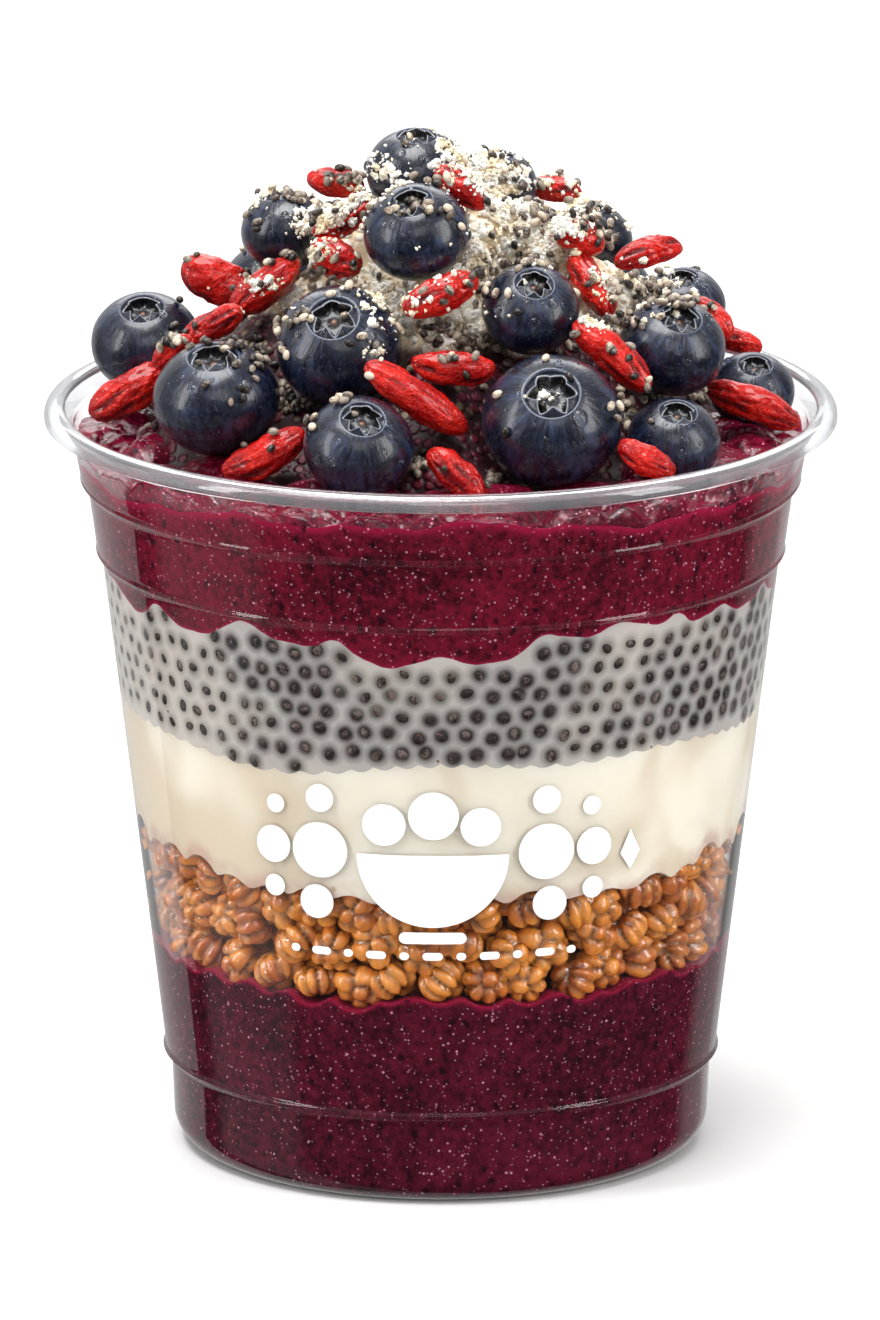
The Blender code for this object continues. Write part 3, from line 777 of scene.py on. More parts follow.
def puree_swells(pick):
    """The open ring of puree between wall and toppings: soft lumps with sharp folds between."""
    inner, rows, sunk = 30.0, 52, 85.0
    lumps = []
    for radius, count in ((42.6, 33), (39.0, 29), (35.4, 24), (31.8, 20)):
        for i in range(count):
            theta = 2 * math.pi * (i + pick.uniform(-0.35, 0.35)) / count
            lumps.append((place_on(theta, radius + pick.uniform(-1, 1), 0), pick.uniform(2.6, 5.2),
                          pick.uniform(1.6, 3.0)))
    wide = 15.0
    bm = spun([(inner, 0)] + [(inner + wide * i / rows, 1) for i in range(rows + 1)]
              + [(43.4, 0), (inner, 0)], 480)
    for v in bm.verts:
        radius, theta = v.co.xy.length, math.atan2(v.co.x, -v.co.y)
        if v.co.z < 0.5:
            v.co.z = sunk
            continue
        spot = place_on(theta, radius, 0)
        spot += noise.noise_vector(spot * 0.45) * 0.9
        level = 0.0
        for centre, size, rise in lumps:
            far = (spot - centre).length_squared / size ** 2
            if far < 1:
                level = max(level, rise * math.sqrt(1 - far))
        z = 88.3 + level + 0.6 * smooth_step(42, 36, radius) + 0.25 * noise.noise(spot * 1.1) + 0.12 * noise.noise(spot * 2.6)
        share = (radius - inner) / wide
        v.co = place_on(theta, inner + share * (outside(z) - WALL + 0.02 - inner), z)
    return bm


WET_PUREE = puree("acai_puree_wet", tone(52, 4, 18), tone(116, 14, 42), 0.1, 0.35, shine=0.6)
finish_piece("puree_swells", puree_swells(random.Random(8)), WET_PUREE, smooth=180)


# ---- Print on the wall -----------------------------------------------------------------------
# One pass of opaque white ink on the outside of the wall: a plain motif of a bowl and round
# fruit between rows of dots, in place of any lettering.
INK_LIFT = 0.06


def ink_shape(bm, points):
    """A flat outline in mm: x round the wall from the front, z up it."""
    bm.faces.new([bm.verts.new((x, 0, z)) for x, z in points])


def disc(bm, x, z, radius, start=0, end=360, corners=48):
    turns = [math.radians(start + (end - start) * i / corners)
             for i in range(corners if end - start == 360 else corners + 1)]
    ink_shape(bm, [(x + radius * math.cos(t), z + radius * math.sin(t)) for t in turns])


def pill(bm, x, z, half_length, radius):
    ends = arc(x + half_length, z, radius, -90, 90, 10) + arc(x - half_length, z, radius, 90, 270, 10)
    ink_shape(bm, ends)


def wrap_on_cup(bm):
    """Cuts the flat shapes into narrow upright strips and bends them round the wall."""
    bmesh.ops.recalc_face_normals(bm, faces=bm.faces)
    for i in range(-32, 33):
        bmesh.ops.bisect_plane(bm, geom=bm.verts[:] + bm.edges[:] + bm.faces[:],
                               plane_co=(i * 0.8 + 0.013, 0, 0), plane_no=(1, 0, 0))
    for v in bm.verts:
        radius = outside(v.co.z)
        v.co = place_on(v.co.x / radius, radius + INK_LIFT, v.co.z)
    bmesh.ops.triangulate(bm, faces=bm.faces)
    bmesh.ops.recalc_face_normals(bm, faces=bm.faces)
    outward = sum(f.normal.dot(Vector((f.calc_center_median().x, f.calc_center_median().y, 0)))
                  for f in bm.faces)
    if outward < 0:
        bmesh.ops.reverse_faces(bm, faces=bm.faces)
    return bm


def motif():
    bm = bmesh.new()
    disc(bm, -1.0, 46.2, 9.4, 180, 360)
    pill(bm, -1.0, 35.4, 3.4, 0.75)
    for x, z, radius in ((-7.0, 50.1, 2.7), (-0.9, 51.4, 3.1), (4.9, 49.9, 2.5)):
        disc(bm, x, z, radius)
    for side in (-1, 1):
        for x, z, radius in ((14.2, 46.2, 3.6), (20.6, 46.2, 2.4), (14.2, 53.0, 1.8),
                             (14.6, 39.4, 2.2), (20.2, 51.6, 1.2), (20.4, 40.8, 1.4)):
            disc(bm, -1.0 + side * x, z, radius)
    for i in range(11):
        pill(bm, -18.5 + 3.5 * i, 33.0, 0.75 if i % 2 else 0.1, 0.5)
    ink_shape(bm, [(24.9, 42.4), (26.4, 44.6), (24.9, 47.6), (23.4, 44.6)])
    return wrap_on_cup(bm)


def white_ink():
    mat, tree, shader = new_material("white_ink", Roughness=0.4)
    place = node(tree, "ShaderNodeTexCoord").outputs["Object"]
    laid = node(tree, "ShaderNodeTexNoise", {"Vector": place, "Scale": 300.0, "Detail": 2.0})
    colour = blend_colours(tree, laid.outputs[0], tone(242, 243, 244), tone(252, 252, 252))
    tree.links.new(colour, shader.inputs["Base Color"])
    return mat


print_bm = motif()
bmesh.ops.solidify(print_bm, geom=print_bm.faces[:], thickness=0.03)
finish_piece("cup_print", print_bm, white_ink(), smooth=30, recalc=False)


# ---- Heap under the toppings -----------------------------------------------------------------
# Crumb, seeds and juice packed into a dome under the berries: only its rough dark surface shows
# in the gaps.
def merged_copy(name):
    """A CAD node's mesh as a merged bmesh, in mm."""
    bm = bmesh.new()
    bm.from_mesh(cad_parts[name].data)
    bmesh.ops.scale(bm, vec=(1 / MM, 1 / MM, 1 / MM), verts=bm.verts)
    bmesh.ops.remove_doubles(bm, verts=bm.verts, dist=0.001)
    return bm


# Where crumb is piled highest: x, y, rise and spread
PILES = ((8, 0, 3.2, 5), (14, 2, 3.2, 5), (20, 3, 3.0, 4), (26, 1, 3.4, 5), (-3, -13, 2.6, 4.5),
         (-13, 0, 2.2, 5), (4, -18, 1.6, 5), (-20, -8, 1.6, 4), (12, -5, 2.0, 4),
         (13.5, 8, 4.0, 4), (27, 4, 3.0, 5), (-9, 6, 3.0, 4))
# Patches of crumb: side, across, up, half width, half height, count
CRUMB_PATCHES = (
    (0, 2.6, 122.0, 3.0, 2.8, 240), (0, 4.6, 120.0, 3.6, 3.0, 280), (0, 7.7, 116.5, 4.2, 3.4, 380),
    (0, 11.1, 114.0, 4.2, 3.4, 400), (0, 14.6, 112.4, 3.6, 3.0, 260), (0, 9.9, 110.6, 3.6, 2.4, 300),
    (0, 13.6, 109.4, 3.0, 2.0, 160), (0, 17.6, 115.6, 3.2, 1.8, 150), (0, 4.3, 109.2, 2.6, 2.2, 110),
    (0, -1.3, 106.9, 4.0, 2.0, 220), (0, -9.5, 116.2, 3.4, 1.8, 150), (0, -13.8, 113.5, 3.4, 2.6, 220),
    (0, -17.0, 112.2, 1.6, 1.8, 50), (0, -19.0, 103.7, 2.4, 1.6, 80), (0, -6.7, 104.3, 3.8, 3.2, 260),
    (0, 0.2, 100.0, 6.4, 2.2, 300), (0, 10.0, 97.9, 2.4, 1.2, 80), (0, 19.8, 100.7, 3.2, 1.6, 130),
    (0, 25.0, 104.5, 4.6, 3.0, 180), (0, 20.6, 105.0, 2.0, 2.6, 70), (0, -22.5, 105.2, 2.6, 1.2, 40),
    (0, -29.0, 104.0, 2.6, 1.0, 20), (0, 12.4, 91.0, 1.6, 0.8, 14), (0, -8.0, 96.6, 1.6, 0.9, 20),
    (180, -4, 122, 6, 4, 200), (180, 4, 114, 9, 4, 220), (180, -14, 110, 6, 4, 180),
    (180, 13, 106, 7, 3, 150), (90, 0, 117, 7, 4, 160), (90, -8, 108, 6, 3, 120),
    (90, 10, 108, 6, 3, 120), (270, 2, 117, 7, 4, 160), (270, -9, 109, 6, 3, 120),
    (270, 10, 108, 6, 3, 120))
SPRINKLE_SLOPE = math.radians(14.7)


def seen_from(side, spot):
    """Across and up of a spot as it shows from a side, a little above level."""
    turned = Matrix.Rotation(-math.radians(side), 3, "Z") @ spot
    return turned.x, turned.z * math.cos(SPRINKLE_SLOPE) + turned.y * math.sin(SPRINKLE_SLOPE)


def crumb_share(spot):
    """How thickly crumb covers a spot of the heap, 0 to 1."""
    most = 0.0
    for side, across, up, wide, tall, count in CRUMB_PATCHES:
        turned = Matrix.Rotation(-math.radians(side), 3, "Z") @ spot
        if turned.y > 8:
            continue
        x, w = seen_from(side, spot)
        most = max(most, smooth_step(1.7, 1.0, math.hypot((x - across) / wide, (w - up) / tall)))
    return most


def heap_surface():
    guide_bm = merged_copy("topping_mound")
    guide = BVHTree.FromBMesh(guide_bm)
    guide_bm.free()
    rings, sunk = 64, 4.5
    bm = spun([(0, 0)] + [(41.0 * i / rings, 1) for i in range(1, rings + 1)], 200)
    bmesh.ops.recalc_face_normals(bm, faces=bm.faces)
    rim = 84.0
    for v in bm.verts:
        hit = guide.ray_cast(Vector((v.co.x, v.co.y, 200)), Vector((0, 0, -1)))[0]
        level = hit.z if hit is not None and hit.z > 88 else rim
        if level > rim:
            for x, y, rise, spread in PILES:
                far = (v.co.x - x) ** 2 + (v.co.y - y) ** 2
                level += rise * math.exp(-far / spread ** 2)
            level = max(level - sunk * smooth_step(31, 38, v.co.xy.length), rim)
        rough = 0.55 * noise.noise(v.co * 0.9) + 0.3 * noise.noise(v.co * 2.1)
        v.co.z = level - 0.6 + rough
    bmesh.ops.smooth_vert(bm, verts=bm.verts, factor=0.5, use_axis_z=True)
    outer = [e for e in bm.edges if e.is_boundary]
    made = bmesh.ops.extrude_edge_only(bm, edges=outer)["geom"]
    low = [g for g in made if isinstance(g, bmesh.types.BMVert)]
    for v in low:
        v.co.z = 82.0
    bmesh.ops.contextual_create(bm, geom=[e for e in bm.edges if e.is_boundary])
    layer = bm.verts.layers.float.new("crumbed")
    for v in bm.verts:
        v[layer] = crumb_share(v.co)
    return bm


def heap_material():
    mat, tree, shader = new_material("heap_in_shade", Roughness=0.5)
    place = node(tree, "ShaderNodeTexCoord").outputs["Object"]
    lots = node(tree, "ShaderNodeTexVoronoi", {"Vector": place, "Scale": 750.0})
    which = node(tree, "ShaderNodeSeparateColor", {0: lots.outputs["Color"]})
    ramp = node(tree, "ShaderNodeValToRGB", {0: which.outputs[0]})
    stops = ramp.color_ramp
    stops.interpolation = "CONSTANT"
    stops.elements[0].color = tone(88, 10, 32)
    stops.elements[1].position = 0.4
    stops.elements[1].color = tone(62, 14, 26)
    for position, colour in ((0.66, tone(120, 102, 84)), (0.78, tone(104, 16, 42))):
        stop = stops.elements.new(position)
        stop.color = colour
    # Painted shade: the gaps between grains are darkened, towards near black on the puree and towards beige on
    # the crumb.
    edge = band(tree, lots.outputs["Distance"], 0.62, 0.3)
    dark = blend_colours(tree, edge, tone(40, 4, 14), ramp.outputs[0])
    pale = blend_colours(tree, edge, tone(232, 210, 172), tone(255, 248, 232))
    crumbed = node(tree, "ShaderNodeAttribute", attribute_name="crumbed").outputs["Fac"]
    colour = blend_colours(tree, crumbed, dark, pale)
    relief = node(tree, "ShaderNodeBump", {"Height": edge, "Strength": 0.6, "Distance": 0.0005})
    tree.links.new(colour, shader.inputs["Base Color"])
    tree.links.new(relief.outputs[0], shader.inputs["Normal"])
    return mat


heap = finish_piece("heap_core", heap_surface(), heap_material(), smooth=180)
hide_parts("topping_mound")


# ---- Blueberries -----------------------------------------------------------------------------
# Twenty fresh blueberries pressed into the heap, crown up: slate-blue skins with a thin waxy
# bloom, streaked from the crown, and a star of dried sepals round a shallow dish.
BLUEBERRIES = (
    (-3, 4, 122, 12.5, -90, 80), (7, 10.5, 119, 10, 0, 80), (-19, 7, 114, 11.5, 180, 80),
    (-3, -9, 117.5, 13, -105, 60), (18.5, 8, 112.5, 10.5, 0, 85), (30, 8.5, 104, 10.5, -100, 70),
    (-36.5, 6, 100, 13.5, -100, 65), (-12.5, -14.5, 104.5, 15.5, -100, 48),
    (11, -12, 108.5, 12, -80, 55), (28.5, -9, 103, 13, -70, 58), (38.5, 3, 94.5, 10.5, -80, 65),
    (-27.5, -17, 98.5, 15.5, -100, 70), (-10, -30, 95.5, 13.5, -80, 55),
    (13.5, -25, 97.5, 17, -90, 45), (28.5, -20.5, 94, 11.5, -75, 65), (-21, 21, 103.5, 13, 130, 60),
    (2, 25, 108, 13, 80, 55), (20, 23, 102, 13.5, 50, 60), (-8, 37, 96, 14, 100, 55),
    (13, 36.5, 96, 11, 70, 60))
BERRY_SIDES = 64
SQUASH = 0.86


def direction(heading, pitch):
    """A unit vector from a compass angle and an angle above level, in degrees."""
    h, p = math.radians(heading), math.radians(pitch)
    return Vector((math.cos(h) * math.cos(p), math.sin(h) * math.cos(p), math.sin(p)))


SEPAL_KNOTS = ((0.0, 1.0), (0.05, 0.97), (0.07, 0.92), (0.2, 0.88), (0.25, 0.8), (0.288, 0.7),
               (0.302, 0.6), (0.33, 0.5), (0.362, 0.4), (0.38, 0.25), (0.405, 0.12), (0.44, 0.0))


def sepal_depth(out):
    """From 1 at the bottom of the dish to 0 on the skin, by the share of the radius."""
    for (r0, d0), (r1, d1) in zip(SEPAL_KNOTS, SEPAL_KNOTS[1:]):
        if out <= r1:
            return d0 + (d1 - d0) * (out - r0) / (r1 - r0)
    return 0.0


def berry_shape(number, diameter):
    """A flattened ball spun with its crown, whose ring is then drawn up into five sepals."""
    pick = random.Random(100 + number)
    radius = diameter / 2
    half = SQUASH * radius
    body = [(radius * math.cos(math.radians(t)), half * math.sin(math.radians(t)))
            for t in range(-90, 64, 4)]
    crown = [(0.445, 0.892), (0.425, 0.905), (0.405, 0.90), (0.39, 0.875), (0.378, 0.85),
             (0.362, 0.85), (0.345, 0.87), (0.328, 0.89), (0.314, 0.90), (0.302, 0.90),
             (0.29, 0.875), (0.28, 0.83), (0.268, 0.78), (0.25, 0.74), (0.2, 0.72), (0.12, 0.72),
             (0.07, 0.735), (0.045, 0.765), (0, 0.775)]
    bm = spun(body + [(r * radius, z * half) for r, z in crown], BERRY_SIDES)
    layer = bm.verts.layers.float_vector.new("round_crown")
    depth = bm.verts.layers.float.new("crown")
    lean = pick.uniform(0, 6.28)
    points = pick.choice((6, 7, 7))
    for v in bm.verts:
        turn = math.atan2(v.co.y, v.co.x)
        out = v.co.xy.length / radius
        v[layer] = Vector((math.cos(turn), math.sin(turn), v.co.z / half))
        v[depth] = 0.0
        if v.co.z > 0.6 * half and out < 0.44:
            v[depth] = sepal_depth(out)
            wave = points * (turn + lean) / (2 * math.pi) % 1
            zigzag = 1 - 4 * abs(wave - 0.5) + 0.3 * noise.noise(Vector((turn * 2, number, 0)))
            ridge = smooth_step(0.2, 0.27, out) * smooth_step(0.385, 0.345, out)
            v.co.xy *= 1 + ridge * 0.2 * zigzag
            v.co.z += ridge * (0.02 - 0.05 * zigzag) * radius
        swell = 1 + 0.018 * noise.noise(v.co * 0.28 + Vector((number, 0, 0)))
        v.co *= swell
    return bm


def berry_skin():
    mat, tree, shader = new_material("blueberry_skin", Roughness=0.3, Specular_IOR_Level=0.55,
                                     Coat_Weight=0.4, Coat_Roughness=0.12)
    place = node(tree, "ShaderNodeTexCoord").outputs["Object"]
    around = node(tree, "ShaderNodeAttribute", attribute_name="round_crown").outputs["Vector"]
    depth = node(tree, "ShaderNodeAttribute", attribute_name="crown").outputs["Fac"]
    stretch = node(tree, "ShaderNodeMapping", {"Vector": around, "Scale": (2.6, 2.6, 0.8)})
    streak = node(tree, "ShaderNodeTexNoise", {"Vector": stretch.outputs[0], "Scale": 2.4,
                                               "Detail": 4.0, "Roughness": 0.65})
    patch = node(tree, "ShaderNodeTexNoise", {"Vector": place, "Scale": 260.0, "Detail": 4.0,
                                              "Roughness": 0.6})
    speckle = node(tree, "ShaderNodeTexNoise", {"Vector": place, "Scale": 2600.0, "Detail": 2.0})
    bloom = math_node(tree, "MULTIPLY", band(tree, streak.outputs[0], 0.4, 0.7),
                      band(tree, patch.outputs[0], 0.38, 0.66))
    skin = blend_colours(tree, bloom, tone(8, 12, 27), tone(40, 53, 86))
    dotted = blend_colours(tree, math_node(tree, "MULTIPLY", band(
        tree, speckle.outputs[0], 0.56, 0.7), 0.22), skin, tone(92, 102, 128))
    # Painted shade: each berry darkens towards its underside.
    height = node(tree, "ShaderNodeSeparateXYZ", {0: around}).outputs[2]
    shaded = blend_colours(tree, band(tree, height, 0.0, -0.8), dotted, tone(9, 9, 16))
    # Painted shade: the near-black stops darken the groove inside the crown ring and the walls of the dish; the
    # grey stops are the dried sepals and the last stop is the orange nub.
    sepal_and_painted_shade = node(tree, "ShaderNodeValToRGB", {0: depth})
    stops = sepal_and_painted_shade.color_ramp
    stops.elements[0].position, stops.elements[0].color = 0.0, tone(40, 46, 62)
    stops.elements[1].position, stops.elements[1].color = 1.0, tone(128, 70, 34)
    for position, shade in ((0.12, tone(74, 82, 102)), (0.25, tone(8, 8, 13)), (0.4, tone(30, 34, 46)),
                            (0.53, tone(46, 52, 68)), (0.6, tone(166, 168, 176)),
                            (0.67, tone(10, 10, 14)), (0.82, tone(9, 9, 12)), (0.9, tone(36, 38, 46)),
                            (0.95, tone(40, 34, 34))):
        stops.elements.new(position).color = shade
    colour = blend_colours(tree, band(tree, depth, 0.0, 0.08), shaded, sepal_and_painted_shade.outputs[0])
    rough = node(tree, "ShaderNodeMapRange", {0: bloom, 1: 0.0, 2: 1.0, 3: 0.26, 4: 0.5}).outputs[0]
    relief = node(tree, "ShaderNodeBump", {"Height": streak.outputs[0], "Strength": 0.25,
                                           "Distance": 0.0006})
    tree.links.new(colour, shader.inputs["Base Color"])
    tree.links.new(rough, shader.inputs["Roughness"])
    tree.links.new(relief.outputs[0], shader.inputs["Normal"])
    return mat


SKIN = berry_skin()
berry_pieces = []
for number, (x, y, z, diameter, heading, pitch) in enumerate(BLUEBERRIES, 1):
    bm = berry_shape(number, diameter)
    turn = facing(direction(heading, pitch), 0)
    bmesh.ops.transform(bm, matrix=Matrix.Translation((x, y, z)) @ turn, verts=bm.verts)
    piece = finish_piece(f"berry_{number:02d}", bm, SKIN, smooth=70)
    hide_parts(f"blueberry_{number:02d}")
    berry_pieces.append(piece)


# ---- Goji berries ----------------------------------------------------------------------------
# Dried goji berries: red and translucent, shrunk into lengthwise folds, with a paler stalk scar
# at one end.
GOJIS = (
    (-27.5, 7, 107.5, 9.5, 5.8, -5, -19), (-21.5, -2, 109, 10, 5, 9, 36),
    (-12, -1, 117, 8.5, 4.2, 14, 30), (-13, -6.5, 113.5, 7, 5, -31, -21),
    (2.5, -4, 122, 8, 4.4, -34, -26), (-13, 9, 119.5, 7, 3.6, -3, -10),
    (14, 14, 117.5, 7, 3.4, -22, 0), (17, -2.5, 115.5, 7, 4.2, 18, -24),
    (18.5, -5.5, 110, 9.5, 4.5, -49, -42), (25.5, -1, 113, 9, 3.8, 25, 8),
    (21, -17.5, 104, 12, 5, -12, -40), (0, -15, 111, 10, 4.6, 21, 19),
    (-28, -6, 105, 8.5, 4.2, -17, 33), (1.5, -20, 103, 10, 4.4, 0, -5),
    (-3, -25, 100.5, 14.5, 5, 0, -34), (-38.5, -4.5, 96, 10.5, 5.4, 9, 32),
    (-21.5, -26, 93.5, 11, 5, -2, 28), (2, -34, 93, 9, 4.6, -21, -38),
    (25, -30, 94, 7.5, 3.8, -8, -27), (38.5, -6, 95, 12, 4.8, -6, -21),
    (33.5, -0.5, 104.5, 6.5, 3.6, -29, -40), (36.5, 13.5, 98.5, 7, 3.4, -5, -19),
    (-33, -9, 102.5, 6, 3, -8, 38), (-33, 19, 97.5, 11, 5, 65, -20),
    (-11, 24.5, 107, 11, 5, 20, -25), (8, 31.5, 104, 11, 5, 160, -20),
    (31, 25, 95, 11, 5, -40, 5), (-22, 34, 94, 11, 5, 30, 10))


def goji_shape(number, length, thickness):
    """A long ball drawn in at its ends and pushed into folds that run its length."""
    bm = bmesh.new()
    bmesh.ops.create_uvsphere(bm, u_segments=48, v_segments=42, radius=0.5)
    shift = Vector((number * 7.3, number * 3.1, 0))
    layer = bm.verts.layers.float.new("fold")
    for v in bm.verts:
        along = v.co.z * 2
        turn = math.atan2(v.co.y, v.co.x)
        wall = math.sqrt(max(1 - abs(along) ** 2.6, 0.0))
        ring = Vector((math.cos(turn), math.sin(turn), 0))
        drift = 0.5 * noise.noise(Vector((along * 1.3, number, 0)))
        fold = 1 - 2.6 * abs(noise.noise(ring * 1.9 + Vector((drift, 0, along * 0.8)) + shift))
        small = 1 - 2.4 * abs(noise.noise(ring * 3.4 + Vector((0, drift, along * 2.6)) + shift))
        dent = noise.noise(ring * 1.1 + Vector((0, 0, along * 1.9)) + shift)
        size = wall * (0.86 + 0.12 * fold + 0.08 * small + 0.16 * dent)
        # The fold share is kept for the colour, which is darkened in the folds as painted shade.
        v[layer] = 0.7 * fold + 0.3 * small
        v.co = Vector((math.cos(turn) * size * thickness / 2, math.sin(turn) * size * thickness * 0.45,
                       along * length / 2 * (1 + 0.04 * small)))
    bend = 0.06 * math.sin(number * 2.1)
    for v in bm.verts:
        v.co.x += bend * (v.co.z ** 2) / length * 4 - bend * length * 0.3
    bmesh.ops.remove_doubles(bm, verts=bm.verts, dist=0.001)
    return bm


def goji_skin():
    mat, tree, shader = new_material("goji_skin", Roughness=0.3, Specular_IOR_Level=0.25,
                                     Subsurface_Weight=0.1, Subsurface_Scale=0.0012,
                                     Coat_Weight=0.6, Coat_Roughness=0.06)
    shader.inputs["Subsurface Radius"].default_value = (1.0, 0.12, 0.05)
    place = node(tree, "ShaderNodeTexCoord").outputs["Object"]
    fold = node(tree, "ShaderNodeAttribute", attribute_name="fold").outputs["Fac"]
    slow = node(tree, "ShaderNodeTexNoise", {"Vector": place, "Scale": 240.0, "Detail": 2.0})
    pits = node(tree, "ShaderNodeTexNoise", {"Vector": place, "Scale": 1100.0, "Detail": 3.0,
                                             "Roughness": 0.6, "Distortion": 0.8})
    colour = blend_colours(tree, band(tree, slow.outputs[0], 0.36, 0.66), tone(178, 5, 4),
                           tone(216, 26, 8))
    # Painted shade: the colour darkens to deep red in the folds.
    deep = blend_colours(tree, band(tree, fold, 0.4, -0.3), colour, tone(104, 2, 6))
    relief = node(tree, "ShaderNodeBump", {"Height": pits.outputs[0], "Strength": 1.0,
                                           "Distance": 0.0009})
    tree.links.new(deep, shader.inputs["Base Color"])
    tree.links.new(relief.outputs[0], shader.inputs["Normal"])
    return mat


GOJI_SKIN = goji_skin()
goji_pieces = []
for number, (x, y, z, length, thickness, heading, pitch) in enumerate(GOJIS, 1):
    bm = goji_shape(number, length, thickness)
    turn = facing(direction(heading, pitch), number * 1.7)
    bmesh.ops.transform(bm, matrix=Matrix.Translation((x, y, z)) @ turn, verts=bm.verts)
    piece = finish_piece(f"goji_{number:02d}_dried", bm, GOJI_SKIN, smooth=180)
    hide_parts(f"goji_{number:02d}")
    goji_pieces.append(piece)


# ---- Crumb, seeds and drops ------------------------------------------------------------------
# Coconut-and-nut crumb and dry chia seeds shaken over the fruit: they catch on the skins and
# fill the hollows, mostly on the upper right. A few drops of water stand on the berries.
def joined_surface(pieces):
    """One search tree over several finished pieces, in mm."""
    bm = bmesh.new()
    for piece in pieces:
        bm.from_mesh(piece.data)
    bmesh.ops.scale(bm, vec=(1 / MM, 1 / MM, 1 / MM), verts=bm.verts)
    found = BVHTree.FromBMesh(bm)
    bm.free()
    return found


def thrown(surface, heading, across, up):
    """Where a grain thrown level-and-down from a side lands: heading 0 is the front."""
    side = Matrix.Rotation(heading, 3, "Z")
    way = side @ Vector((0, math.cos(SPRINKLE_SLOPE), -math.sin(SPRINKLE_SLOPE)))
    rise = side @ Vector((0, math.sin(SPRINKLE_SLOPE), math.cos(SPRINKLE_SLOPE)))
    start = side @ Vector((across, 0, 0)) + rise * up - way * 200
    return surface.ray_cast(start, way)


def sprinkled(surface, patches, seed, lowest=0.0):
    """Landing points and normals; a patch is side, across, up, half width, half height, count."""
    pick = random.Random(seed)
    found = []
    for side, across, up, wide, tall, count in patches:
        for _ in range(count):
            spread = min(abs(pick.gauss(0, 0.55)), 1.35)
            turn = pick.uniform(0, 2 * math.pi)
            hit, normal, face, far = thrown(surface, math.radians(side),
                                            across + wide * spread * math.cos(turn),
                                            up + tall * spread * math.sin(turn))
            if hit is not None and normal.z > lowest and hit.z > 88:
                found.append((hit, normal))
    return found


def crumb_shapes(cuts, ragged):
    shapes = []
    for number in range(5):
        bm = bmesh.new()
        bmesh.ops.create_icosphere(bm, subdivisions=cuts, radius=0.5)
        for v in bm.verts:
            v.co += noise.noise_vector(v.co * 2.6 + Vector((number * 5, 0, 0))) * ragged
        shape = bpy.data.meshes.new("crumb")
        bm.to_mesh(shape)
        bm.free()
        shapes.append(shape)
    return shapes


def crumb_places(hits, seed, low, high, sink):
    pick = random.Random(seed)
    places = []
    for hit, normal in hits:
        size = low + (high - low) * pick.random() ** 1.8
        if heap_skin.find_nearest(hit)[3] > 0.05:
            size *= 0.6
        turn = facing((normal + Vector([pick.gauss(0, 0.5) for _ in range(3)])).normalized(),
                      pick.uniform(0, 6.28))
        squash = Matrix.Diagonal((size, size * pick.uniform(0.7, 1), size * pick.uniform(0.5, 0.8), 1))
        places.append((pick.randrange(5), Matrix.Translation(hit + normal * size * sink)
                       @ turn @ squash))
    return places


def crumb_material():
    mat, tree, shader = new_material("nut_crumb", Roughness=0.75, Subsurface_Weight=0.2,
                                     Subsurface_Scale=0.001)
    shader.inputs["Subsurface Radius"].default_value = (1.0, 0.8, 0.55)
    place = node(tree, "ShaderNodeTexCoord").outputs["Object"]
    lot = node(tree, "ShaderNodeTexNoise", {"Vector": place, "Scale": 420.0, "Detail": 2.0})
    colour = blend_colours(tree, band(tree, lot.outputs[0], 0.36, 0.58), tone(240, 222, 188),
                           tone(255, 251, 240))
    fine = node(tree, "ShaderNodeTexNoise", {"Vector": place, "Scale": 3600.0, "Detail": 2.0})
    relief = node(tree, "ShaderNodeBump", {"Height": fine.outputs[0], "Strength": 0.4,
                                           "Distance": 0.0002})
    tree.links.new(colour, shader.inputs["Base Color"])
    tree.links.new(relief.outputs[0], shader.inputs["Normal"])
    return mat


heap_skin = joined_surface([heap])
fruit = joined_surface([heap] + berry_pieces + goji_pieces)
CRUMB = crumb_material()
bed = sprinkled(fruit, [p[:5] + (int(p[5] * 0.4),) for p in CRUMB_PATCHES], 21, 0.15)
crumb_under = finish_piece("crumb_bed", strewn(crumb_shapes(2, 0.5), crumb_places(
    bed, 22, 1.2, 2.5, 0.05)), CRUMB, smooth=180, recalc=False)
covered = joined_surface([heap, crumb_under] + berry_pieces + goji_pieces)
dust = sprinkled(covered, [p[:5] + (int(p[5] * 1.5),) for p in CRUMB_PATCHES], 23, 0.0)
crumb_over = finish_piece("crumb_loose", strewn(crumb_shapes(1, 0.42), crumb_places(
    dust, 24, 0.4, 1.15, 0.25)), CRUMB, smooth=180, recalc=False)

